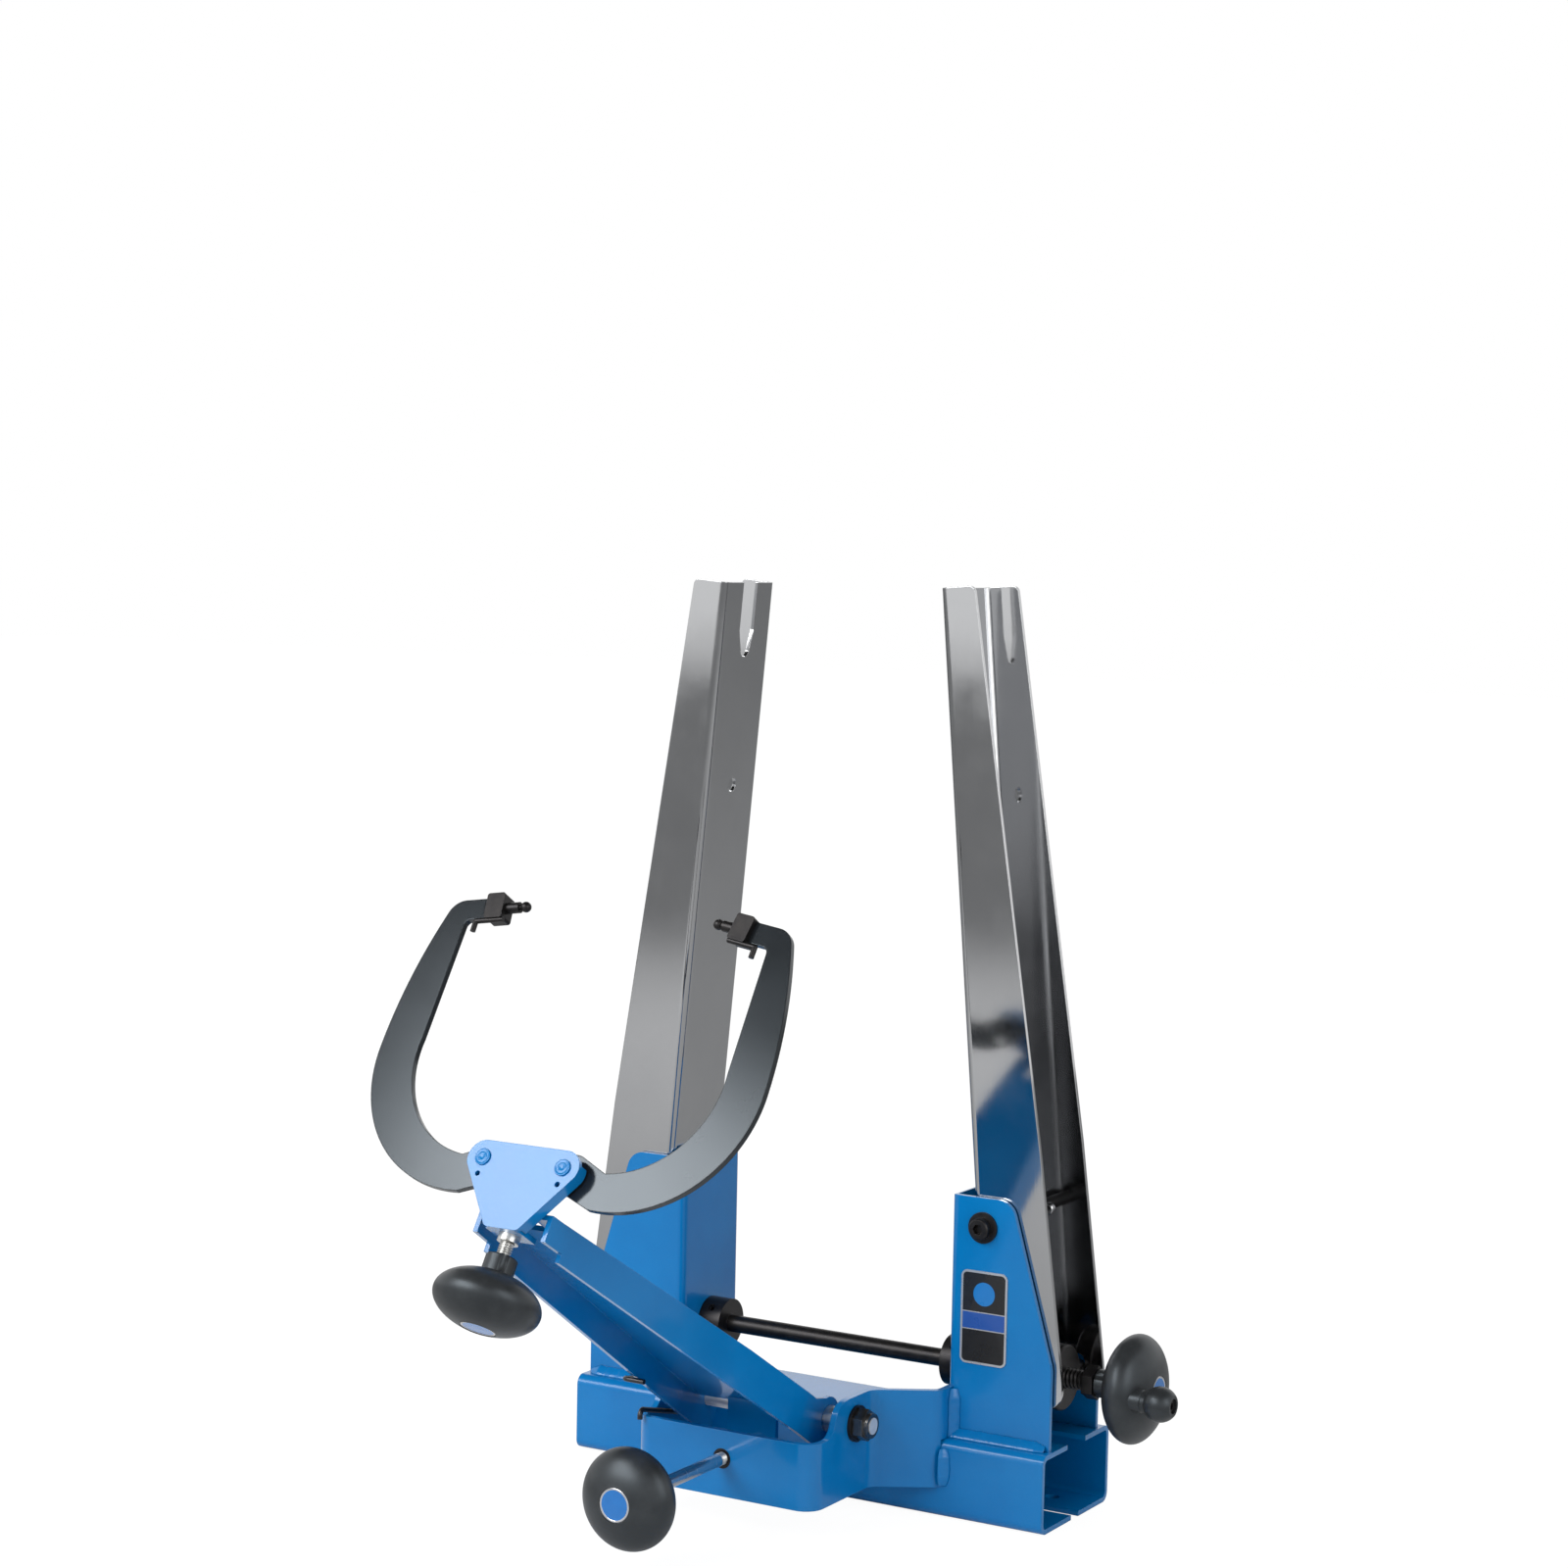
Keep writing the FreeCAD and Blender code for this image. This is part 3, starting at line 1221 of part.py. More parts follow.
def upper_screw_parts():
    top = -caliper_lever_radius - push_gap - push_block_height - face_gap
    centre_from_hub = knob_hub_length + knob_swell * math.sqrt(1.0 - (knob_hub_dia / knob_dia) ** 2)
    hub_v = upper_knob_v + centre_from_hub
    bore_depth = knob_hub_length
    screw = rod(screw_dia, top - hub_v + bore_depth, Vector(0, top, caliper_w), -Y)
    screw.Placement = arm_place.multiply(screw.Placement)
    place = arm_place.multiply(Placement(Vector(0, hub_v, caliper_w), Rotation(Z, -Y)))
    body, cap, centre = knob_set(knob_dia, knob_swell, knob_hub_dia, knob_hub_length,
                                 screw_dia, bore_depth, place)
    return screw, body, cap


# Lower screw: its rounded tip holds the arm's tab
def thrust_tip():
    face = tab_face_y() - pad_thick - tip_rest_gap
    centre = Vector(0, face - thrust_tip_radius, lower_screw_z)
    ball = Part.makeSphere(thrust_tip_radius, centre)
    shank_end = face - thrust_tip_length
    r = thrust_tip_radius
    body = ball.cut(box(-r - 1, r + 1, centre.y - r - 1, shank_end, centre.z - r - 1, centre.z + r + 1))
    return body


def lower_screw_parts():
    face = tab_face_y() - pad_thick - tip_rest_gap
    start = face - thrust_tip_length - face_gap
    centre_from_hub = knob_hub_length + knob_swell * math.sqrt(1.0 - (knob_hub_dia / knob_dia) ** 2)
    hub_y = lower_knob_y + centre_from_hub
    bore_depth = knob_hub_length
    screw = rod(screw_dia, start - hub_y + bore_depth, Vector(0, start, lower_screw_z), -Y)
    place = Placement(Vector(0, hub_y, lower_screw_z), Rotation(Z, -Y))
    body, cap, centre = knob_set(knob_dia, knob_swell, knob_hub_dia, knob_hub_length,
                                 screw_dia, bore_depth, place)
    return screw, body, cap


def label_plate():
    face = -(bracket_inner_half + bracket_sheet)
    hw = label_width / 2.0
    hh = label_height / 2.0
    corners = [(label_x - hw, label_z - hh, label_corner), (label_x + hw, label_z - hh, label_corner),
               (label_x + hw, label_z + hh, label_corner), (label_x - hw, label_z + hh, label_corner)]
    return rounded(corners, in_xz(face), Y * -label_thick)


def build():
    save(base_channel(), "base_channel")
    right_bracket = bracket()
    save(right_bracket, "right_bracket")
    save(mirrored(right_bracket), "left_bracket")
    beads = weld_beads()
    save(Part.makeCompound(beads + [mirrored(b) for b in beads]), "weld_beads")
    save(yoke(), "front_yoke")
    save(label_plate(), "label_plate")
    bush = web_bush()
    save(bush, "right_web_bush")
    save(mirrored(bush), "left_web_bush")
    bolt = pivot_bolt()
    save(bolt, "right_pivot_bolt")
    save(mirrored(bolt), "left_pivot_bolt")
    nut = pivot_nut()
    save(Part.makeCompound([nut, mirrored(nut)]), "pivot_nuts")
    save(lower_bush(), "lower_screw_bush")
    save(arm_bolt(), "arm_pivot_bolt")
    save(arm_nut(), "arm_pivot_nut")
    save(Part.makeCompound(arm_washers()), "arm_pivot_washers")
    save(Part.makeCompound(arm_spacers()), "arm_spacers")
    save(arm_spring(), "arm_spring")

    right_upright = upright()
    save(right_upright, "right_upright")
    save(mirrored(right_upright), "left_upright")
    screw = stop_screw()
    save(screw, "right_stop_screw")
    save(mirrored(screw), "left_stop_screw")
    washers = thrust_washers()
    save(Part.makeCompound(washers), "right_thrust_washers")
    save(Part.makeCompound([mirrored(w) for w in washers]), "left_thrust_washers")

    knob_body, knob_cap, spinner_at = main_knob_parts()
    knob_seat_x = end_nut_x + end_nut_width + main_hub_length + 6.0
    save(spindle_rod(knob_seat_x), "spindle")
    ring = collar()
    save(ring, "right_collar")
    save(mirrored(ring), "left_collar")
    grub = set_screw()
    save(Part.makeCompound([grub, mirrored(grub)]), "collar_set_screws")
    save(end_nut(end_nut_x), "right_jam_nut")
    save(mirrored(end_nut(stop_nut_x)), "left_stop_nut")
    save(knob_body, "main_knob")
    save(knob_cap, "main_knob_cap")
    save(spinner_screw(spinner_at), "spinner_screw")
    save(spinner_handle(spinner_at), "spinner_handle")
    travel = travel_nut()
    save(travel, "right_travel_nut")
    save(mirrored(travel), "left_travel_nut")

    save(caliper_arm(), "caliper_arm")
    save(push_pad(), "arm_push_pad")
    save(head_plate(), "head_plate")
    save(upper_bush(), "upper_screw_bush")
    save(Part.makeCompound(caliper_pins()), "caliper_pins")
    save(Part.makeCompound(caliper_nuts()), "caliper_nuts")
    for name, make in (("caliper", caliper), ("tip_block", tip_block), ("tip_pin", tip_pin),
                       ("feeler", feeler)):
        shape = make()
        save(shape, "right_" + name)
        save(mirrored(shape), "left_" + name)
    save(push_block(), "upper_push_block")
    screw, body, cap = upper_screw_parts()
    save(screw, "upper_screw")
    save(body, "upper_knob")
    save(cap, "upper_knob_cap")
    save(thrust_tip(), "lower_thrust_tip")
    screw, body, cap = lower_screw_parts()
    save(screw, "lower_screw")
    save(body, "lower_knob")
    save(cap, "lower_knob_cap")


build()
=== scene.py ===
import bpy
import bmesh
import math
from mathutils import Matrix, Vector


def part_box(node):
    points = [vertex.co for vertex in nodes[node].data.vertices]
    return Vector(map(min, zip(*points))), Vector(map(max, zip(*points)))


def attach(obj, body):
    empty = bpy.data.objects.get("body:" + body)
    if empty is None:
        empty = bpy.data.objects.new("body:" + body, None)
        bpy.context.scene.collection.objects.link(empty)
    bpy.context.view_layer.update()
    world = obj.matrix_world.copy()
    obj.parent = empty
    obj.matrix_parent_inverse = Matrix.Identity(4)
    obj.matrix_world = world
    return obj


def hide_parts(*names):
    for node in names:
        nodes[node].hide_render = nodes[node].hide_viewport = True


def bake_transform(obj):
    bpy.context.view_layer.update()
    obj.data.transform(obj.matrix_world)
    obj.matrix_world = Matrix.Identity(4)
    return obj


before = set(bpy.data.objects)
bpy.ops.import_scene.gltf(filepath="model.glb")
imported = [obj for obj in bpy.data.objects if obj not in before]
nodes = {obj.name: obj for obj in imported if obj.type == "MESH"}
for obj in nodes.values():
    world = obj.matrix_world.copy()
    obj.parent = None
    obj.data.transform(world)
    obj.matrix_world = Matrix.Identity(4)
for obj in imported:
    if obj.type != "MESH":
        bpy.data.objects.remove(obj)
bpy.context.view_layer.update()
mm = 0.001


# The studio: a long lens from the right front, a pale floor, one large soft box from the left front
# with a small one at its upper corner, a weaker fill from the right, a wide lamp above, a white
# surround and a dark ceiling that only shows in reflections.
camera_place = (0.990, -1.750, 0.583)
camera_turn = math.radians(30.68)
camera_dip = math.radians(4.17)
camera_roll = math.radians(1.16)
camera = bpy.data.objects.new("camera", bpy.data.cameras.new("camera"))
bpy.context.scene.collection.objects.link(camera)
camera.data.sensor_width = 36.0
camera.data.lens = 74.3
camera.data.clip_end = 50.0
camera.matrix_world = (Matrix.Translation(camera_place)
                       @ Matrix.Rotation(camera_turn, 4, "Z")
                       @ Matrix.Rotation(math.pi / 2.0 - camera_dip, 4, "X")
                       @ Matrix.Rotation(camera_roll, 4, "Z"))
bpy.context.scene.camera = camera
bpy.context.scene.view_settings.view_transform = "Standard"


class Wire:
    """One value inside a material, so that shader sums read as plain arithmetic."""

    def __init__(self, tree, socket):
        self.tree = tree
        self.socket = socket

    def sum(self, operation, first, second=0.0, third=0.0):
        node = self.tree.nodes.new("ShaderNodeMath")
        node.operation = operation
        for socket, value in zip(node.inputs, (first, second, third)):
            if isinstance(value, Wire):
                self.tree.links.new(value.socket, socket)
            else:
                socket.default_value = value
        return Wire(self.tree, node.outputs[0])

    def __add__(self, other):
        return self.sum("ADD", self, other)

    def __radd__(self, other):
        return self.sum("ADD", other, self)

    def __sub__(self, other):
        return self.sum("SUBTRACT", self, other)

    def __rsub__(self, other):
        return self.sum("SUBTRACT", other, self)

    def __mul__(self, other):
        return self.sum("MULTIPLY", self, other)

    def __rmul__(self, other):
        return self.sum("MULTIPLY", other, self)

    def __pow__(self, other):
        return self.sum("POWER", self, other)

    def over(self, edge, soft):
        """0 below the edge and 1 above it, blended over a soft width."""
        ramp = self.sum("DIVIDE", self - (edge - soft / 2.0), soft)
        return self.sum("MINIMUM", self.sum("MAXIMUM", ramp, 0.0), 1.0)

    def size(self):
        return self.sum("ABSOLUTE", self)

    def biggest(self, other):
        return self.sum("MAXIMUM", self, other)

    def smallest(self, other):
        return self.sum("MINIMUM", self, other)


class Finish:
    """A surface finish on one principled shader: plain holds its even values, which a pattern may
    then vary, and place is the point on the piece in metres."""

    def __init__(self, name, **plain):
        self.material = bpy.data.materials.new(name)
        self.material.use_nodes = True
        self.tree = self.material.node_tree
        self.shader = self.tree.nodes["Principled BSDF"]
        for socket, value in plain.items():
            self.shader.inputs[socket.replace("_", " ")].default_value = value
        self.place = self.node("ShaderNodeTexCoord", out="Object")

    def node(self, kind, settings=None, sockets=None, out=0):
        made = self.tree.nodes.new(kind)
        for name, value in (settings or {}).items():
            setattr(made, name, value)
        for name, value in (sockets or {}).items():
            self.put(made.inputs[name], value)
        return Wire(self.tree, made.outputs[out])

    def put(self, socket, value):
        if isinstance(value, Wire):
            self.tree.links.new(value.socket, socket)
        else:
            socket.default_value = value

    def feed(self, **sockets):
        for name, value in sockets.items():
            self.put(self.shader.inputs[name.replace("_", " ")], value)

    def along(self, axis):
        return self.node("ShaderNodeSeparateXYZ", {}, {"Vector": self.place}, out=axis)

    def stretch(self, across, along, up):
        return self.node("ShaderNodeMapping", {}, {"Vector": self.place, "Scale": (across, along, up)})

    def grain(self, scale, detail=2.0, rough=0.5, at=None):
        return self.node("ShaderNodeTexNoise", {"noise_dimensions": "3D"},
                         {"Vector": at or self.place, "Scale": scale, "Detail": detail, "Roughness": rough})

    def blend(self, mask, low, high):
        """Mixes two colours: the node's sockets 6 and 7 take them, and its output 2 gives the mix."""
        return self.node("ShaderNodeMix", {"data_type": "RGBA"}, {0: mask, 6: low, 7: high}, out=2)

    def relief(self, height, depth, strength=1.0, edge=0.0):
        """A fine height over the surface; edge is the radius at which sharp corners look broken."""
        sockets = {"Height": height, "Distance": depth, "Strength": strength}
        if edge:
            sockets["Normal"] = self.node("ShaderNodeBevel", {"samples": 6}, {"Radius": edge})
        self.feed(Normal=self.node("ShaderNodeBump", {}, sockets))


def area_light(name, place, toward, size, power):
    light = bpy.data.objects.new(name, bpy.data.lights.new(name, "AREA"))
    light.data.shape = "RECTANGLE"
    light.data.size, light.data.size_y = size
    light.data.energy = power
    light.location = place
    light.rotation_euler = (Vector(toward) - Vector(place)).to_track_quat("-Z", "Y").to_euler()
    bpy.context.scene.collection.objects.link(light)


stand_middle = (0.0, -0.1, 0.25)
area_light("key", place=(-0.87, -2.1, 1.46), toward=stand_middle, size=(1.7, 1.3), power=46.0)
area_light("corner", place=(-1.29, -1.60, 1.79), toward=(0.02, -0.3, 0.26), size=(0.36, 0.31), power=2.3)
area_light("fill", place=(2.6, -1.0, 1.4), toward=stand_middle, size=(1.4, 1.8), power=19.0)
area_light("top", place=(0.2, 0.6, 2.8), toward=(0.0, 0.0, 0.2), size=(2.4, 1.6), power=16.0)

world = bpy.data.worlds.new("studio")
bpy.context.scene.world = world
world.use_nodes = True
surround = world.node_tree
rays = surround.nodes.new("ShaderNodeLightPath")
camera_ray, glossy_ray, clear_ray = (
    Wire(surround, rays.outputs[ray]) for ray in ("Is Camera Ray", "Is Glossy Ray", "Is Transmission Ray"))
seen = camera_ray.biggest(glossy_ray).biggest(clear_ray)
backdrop = surround.nodes["Background"].inputs
backdrop["Color"].default_value = (1.0, 1.0, 1.0, 1.0)
surround.links.new((0.5 + 0.5 * seen).socket, backdrop["Strength"])


def mesh_piece(name, verts, faces, finishes, smooth=True, marks=None):
    """A mesh of its own; marks gives each face's place in the list of finishes."""
    mesh = bpy.data.meshes.new(name)
    mesh.from_pydata([tuple(v) for v in verts], [], faces)
    for finish in finishes:
        mesh.materials.append(finish.material)
    made = bpy.data.objects.new(name, mesh)
    bpy.context.scene.collection.objects.link(made)
    for i, face in enumerate(mesh.polygons):
        face.use_smooth = smooth
        face.material_index = marks[i] if marks else 0
    work = bmesh.new()
    work.from_mesh(mesh)
    bmesh.ops.recalc_face_normals(work, faces=work.faces)
    work.to_mesh(mesh)
    work.free()
    return made


def shown_as(finish, ray, share, colour, strength=1.0):
    """Mixes a plain glow into what one kind of ray sees of a stage surface."""
    glow = finish.node("ShaderNodeEmission", {}, {"Color": colour, "Strength": strength})
    output = finish.tree.nodes["Material Output"].inputs["Surface"]
    before = Wire(finish.tree, output.links[0].from_socket)
    light = finish.node("ShaderNodeLightPath", out=ray)
    finish.put(output, finish.node("ShaderNodeMixShader", {}, {0: light * share, 1: before, 2: glow}))


def stage_sheet(name, half, height, finish):
    corners = [(-half, -half, height), (half, -half, height), (half, half, height), (-half, half, height)]
    sheet = mesh_piece(name, corners, [(0, 1, 2, 3)], [finish], smooth=False)
    return sheet


floor_white = Finish("floor_white", Roughness=0.85)
floor_dust = floor_white.grain(6.0, 3.0)
floor_white.feed(Base_Color=floor_white.blend(floor_dust, (0.84, 0.84, 0.84, 1.0), (0.86, 0.86, 0.86, 1.0)))
# Reflections see a painted dark glow on the floor that grows away from the stand, a painted reflection, and
# the camera sees it plain white.
floor_across = floor_white.along("X")
floor_depth = floor_white.along("Y")
far_reflection_shade = ((floor_across * floor_across + floor_depth * floor_depth) ** 0.5).over(0.36, 0.2)
shown_as(floor_white, "Is Glossy Ray", share=0.1 + 0.45 * far_reflection_shade, colour=(0.06, 0.065, 0.07, 1.0))
shown_as(floor_white, "Is Camera Ray", share=0.88, colour=(1.0, 1.0, 1.0, 1.0), strength=1.08)
stage_sheet("floor_sheet", half=12.0, height=-0.0005, finish=floor_white)
ceiling_black = Finish("ceiling_black", Base_Color=(0.02, 0.02, 0.02, 1.0), Roughness=1.0)
ceiling = stage_sheet("dark_ceiling", half=2.5, height=2.35, finish=ceiling_black)
ceiling.visible_camera = False
ceiling.visible_diffuse = False
ceiling.visible_shadow = False


# The base: one sheet of 3 mm steel folded to a box with its seam underneath, coated in glossy blue
# powder. The coat has a faint orange peel and a few pin specks.
coat = Finish("blue_powder_coat", Roughness=0.22, Specular_IOR_Level=0.2,
              Coat_Weight=1.0, Coat_Roughness=0.08, Coat_IOR=1.3)
peel = coat.grain(520.0, 1.5)
cloud = coat.grain(26.0, 2.0)
specks = coat.grain(2600.0, 0.0).over(0.76, 0.04)
coat_tone = coat.blend(cloud.over(0.5, 0.5), (0.0002, 0.155, 0.43, 1.0), (0.0003, 0.18, 0.48, 1.0))
coat.feed(Base_Color=coat.blend(specks * 0.5, coat_tone, (0.004, 0.23, 0.58, 1.0)),
          Roughness=0.2 + 0.06 * cloud)
coat.relief(peel, 0.00012, 0.4, edge=0.7 * mm)


def dress(finish, *names):
    """Gives a finish to pieces that come from the part as they are."""
    for name in names:
        slots = nodes[name].data.materials
        slots.clear()
        slots.append(finish.material)


dress(coat, "base_channel")


# Brackets: two U plates of the same sheet, folded, cut to a slope and welded on the base, with
# their beads under the same blue coat.
dress(coat, "right_bracket", "left_bracket")
weld_leg = 5.7 * mm
weld_ripple = 2.4 * mm
ripple_rise = 0.03
ripple_trail = 0.5 * mm
bead_waver = 0.02
waver_rate = 700.0
bead_flat = 0.17
thin_end = 0.35


def weld_run(name, start, along, out, up, length, leg, tapered):
    """A laid bead: a quarter round whose face steps in small overlapping ripples. It thins out at
    the ends that are named tapered."""
    rows = int(length / (weld_ripple / 5.0))
    arc = 11
    verts = []
    for i in range(rows + 1):
        laid = length * i / rows
        phase = (laid / weld_ripple) % 1.0
        swell = 1.0 - ripple_rise + ripple_rise * math.sqrt(1.0 - (2.0 * phase - 1.0) ** 2)
        swell += bead_waver * math.sin(laid * waver_rate)
        left = laid if "start" in tapered else leg
        right = length - laid if "end" in tapered else leg
        end = math.sqrt(min(1.0, thin_end + min(left, right) / leg * (1.0 - thin_end)))
        verts.append(start + along * laid)
        for k in range(arc):
            angle = math.pi / 2.0 * k / (arc - 1)
            bulge = leg * swell * end * (1.0 - bead_flat * math.sin(2.0 * angle))
            lag = along * (ripple_trail * math.sin(2.0 * angle))
            around = out * math.cos(angle) + up * math.sin(angle)
            verts.append(start + along * laid + lag + around * bulge)
    ring = arc + 1
    faces = []
    for i in range(rows):
        for k in range(ring):
            a = i * ring + k
            b = i * ring + (k + 1) % ring
            faces.append((a, b, b + ring, a + ring))
    faces.append(tuple(range(ring))[::-1])
    faces.append(tuple(rows * ring + k for k in range(ring)))
    return mesh_piece(name, verts, faces, [coat])


x_axis = Vector((1, 0, 0))
y_axis = Vector((0, 1, 0))
z_axis = Vector((0, 0, 1))
sides = ((1, "right"), (-1, "left"))
base_top = 48.0
base_front = -46.0
bracket_half = 34.0
yoke_edge = 99.5
first_weld = None
for side, word in sides:
    away = x_axis * side
    runs = {
        "front": ((100.0, -bracket_half, base_top), away, -y_axis, z_axis, 62.5, "end"),
        "back": ((101.5, bracket_half, base_top), away, y_axis, z_axis, 61.0, "start end"),
        "upper": ((yoke_edge, -bracket_half, base_top), z_axis, away, -y_axis, 29.5, "end"),
        "lower": ((yoke_edge, base_front, 20.0), z_axis, away, -y_axis, 23.0, "start end")}
    for place, (corner, along, out, up, length, tapered) in runs.items():
        start = Vector((side * corner[0], corner[1], corner[2])) * mm
        bead = weld_run(f"{word}_{place}_weld", start, along, out, up, length * mm, weld_leg, tapered)
        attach(bead, "ground")
        first_weld = first_weld or bead
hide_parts("weld_beads")


# Label plate: a thin black printed plate glued to the right bracket. A silver line runs round its
# edge, a dark blue band lies across it between two silver lines, and a plain blue disc stands above.
label_x, label_z = 119.5 * mm, 123.0 * mm
label_half_across, label_half_up = 15.5 * mm, 28.5 * mm
label_corner = 4.0 * mm
label_border = 1.3 * mm
band_z, band_half, band_line_width = 121.0 * mm, 5.0 * mm, 0.6 * mm
disc_z, disc_radius = 137.6 * mm, 7.2 * mm
print_blur = 0.15 * mm
label = Finish("label_print", Roughness=0.25, Coat_Weight=0.4)
across = label.along("X") - label_x
rise = label.along("Z")
past_side = across.size() - (label_half_across - label_corner)
past_end = (rise - label_z).size() - (label_half_up - label_corner)
reach_side = past_side.biggest(0.0)
reach_end = past_end.biggest(0.0)
inside = (label_corner - (reach_side * reach_side + reach_end * reach_end) ** 0.5
          - past_side.biggest(past_end).smallest(0.0))
field = inside.over(label_border, print_blur)
border = 1.0 - field
band_far = (rise - band_z).size()
band = (1.0 - band_far.over(band_half, print_blur)) * field
band_line = (band_far.over(band_half, 0.8 * print_blur)
             * (1.0 - band_far.over(band_half + band_line_width, 0.8 * print_blur)) * field)
above = rise - disc_z
disc_far = (across * across + above * above) ** 0.5
disc = 1.0 - disc_far.over(disc_radius, print_blur)
print_tone = label.blend(label.grain(300.0), (0.006, 0.006, 0.007, 1.0), (0.011, 0.011, 0.012, 1.0))
print_tone = label.blend(band, print_tone, (0.012, 0.075, 0.33, 1.0))
print_tone = label.blend(disc, print_tone, (0.004, 0.17, 0.5, 1.0))
silver = border.biggest(band_line)
print_tone = label.blend(silver, print_tone, (0.6, 0.61, 0.63, 1.0))
label.feed(Base_Color=print_tone, Metallic=silver * 0.7, Roughness=0.24 + 0.08 * label.grain(90.0))
dress(label, "label_plate")


# Uprights: two channels of polished chrome-plated sheet with a forked top for the axle. The plate
# shows faint vertical polishing lines and light handling marks.
chrome = Finish("chrome_plate", Metallic=1.0, Roughness=0.06)
lines = chrome.grain(1.0, 3.0, at=chrome.stretch(1500.0, 1500.0, 18.0))
marks = chrome.grain(22.0, 4.0, 0.6)
chrome.feed(Base_Color=chrome.blend(marks, (0.5, 0.507, 0.52, 1.0), (0.58, 0.585, 0.595, 1.0)),
            Roughness=0.045 + 0.05 * marks.over(0.55, 0.3) + 0.03 * lines)
chrome.relief(lines, 0.00002, 0.15, edge=0.6 * mm)
dress(chrome, "right_upright", "left_upright", "right_stop_screw", "left_stop_screw")


# Pivot bolts: black oxide socket screws with washers in front, on which the uprights tilt. Zinc
# nuts hold them behind, and thrust washers keep the uprights off the brackets.
black = Finish("black_oxide", Metallic=0.85, Roughness=0.36)
oil = black.grain(160.0, 3.0)
black.feed(Base_Color=black.blend(oil, (0.018, 0.018, 0.021, 1.0), (0.045, 0.042, 0.04, 1.0)),
           Roughness=0.3 + 0.16 * oil)
black.relief(black.grain(2200.0, 1.0), 0.00004, 0.3, edge=0.35 * mm)
zinc = Finish("bright_zinc", Metallic=1.0, Roughness=0.3)
spangle = zinc.grain(420.0, 3.0)
zinc.feed(Base_Color=zinc.blend(spangle, (0.5, 0.5, 0.48, 1.0), (0.74, 0.74, 0.72, 1.0)),
          Roughness=0.24 + 0.14 * spangle)
zinc.relief(zinc.grain(1500.0, 1.0), 0.00004, 0.25, edge=0.3 * mm)
dress(black, "right_pivot_bolt", "left_pivot_bolt")
dress(zinc, "pivot_nuts", "right_thrust_washers", "left_thrust_washers")


# Spindle: a black rod with journals in two web bushes, set-screwed collars inside the brackets and
# threads of opposite hands at its ends, on which the travelling nuts run.
bronze = Finish("bearing_bronze", Metallic=1.0, Roughness=0.35)
pores = bronze.grain(900.0, 3.0)
bronze.feed(Base_Color=bronze.blend(pores, (0.3, 0.19, 0.08, 1.0), (0.46, 0.32, 0.15, 1.0)),
            Roughness=0.3 + 0.2 * pores)
bronze.relief(pores, 0.00004, 0.3)
dress(bronze, "right_web_bush", "left_web_bush")
dress(black, "right_collar", "left_collar", "collar_set_screws", "right_jam_nut", "left_stop_nut",
      "right_travel_nut", "left_travel_nut")


def turned(name, profile, place, finishes, marks=None, segments=72, shape=None):
    """A turned piece: (radius, height) points spun about the place's Z. marks gives each band's
    place in the list of finishes, and shape may change a point's radius."""
    verts = []
    for radius, height in profile:
        for k in range(segments):
            angle = 2.0 * math.pi * k / segments
            reach = shape(radius, height, angle) if shape else radius
            verts.append(place @ Vector((reach * math.cos(angle), reach * math.sin(angle), height)))
    faces = []
    kinds = []
    for i in range(len(profile) - 1):
        for k in range(segments):
            a = i * segments + k
            b = i * segments + (k + 1) % segments
            faces.append((a, b, b + segments, a + segments))
            kinds.append(marks[i] if marks else 0)
    faces.append(tuple(range(segments))[::-1])
    kinds.append(marks[0] if marks else 0)
    last = (len(profile) - 1) * segments
    faces.append(tuple(last + k for k in range(segments)))
    kinds.append(marks[-1] if marks else 0)
    made = mesh_piece(name, verts, faces, finishes, marks=kinds)
    mesh = made.data
    mesh.polygons[-1].use_smooth = False
    mesh.polygons[-2].use_smooth = False
    return made


def sharpen(piece, degrees=32.0):
    """Keeps the crisp corners of a smooth-shaded piece."""
    work = bmesh.new()
    work.from_mesh(piece.data)
    for edge in work.edges:
        if len(edge.link_faces) == 2 and edge.calc_face_angle(0.0) > math.radians(degrees):
            edge.smooth = False
    work.to_mesh(piece.data)
    work.free()
    return piece


def threaded(name, stretches, place, finishes, segments=40):
    """A rod of plain and threaded stretches: each is (from, to, radius, depth, pitch), pitch 0 for
    plain and negative for a left-hand thread."""
    profile = []
    rules = {}
    for start, stop, radius, depth, pitch in stretches:
        rows = max(1, int((stop - start) / abs(pitch) * 8)) if pitch else 1
        for i in range(rows + 1):
            point = (radius, start + (stop - start) * i / rows)
            profile.append(point)
            rules.setdefault(point, (start, stop, depth, pitch))

    def cut(radius, height, angle):
        start, stop, depth, pitch = rules[(radius, height)]
        if not pitch:
            return radius
        turn = (height / pitch - angle / (2.0 * math.pi)) % 1.0
        tooth = abs(2.0 * turn - 1.0)
        fade = min(1.0, (height - start) / abs(pitch), (stop - height) / abs(pitch))
        return radius - depth * min(1.0, 1.25 * (1.0 - tooth)) * max(fade, 0.0)

    return sharpen(turned(name, profile, place, finishes, segments=segments, shape=cut), 50.0)


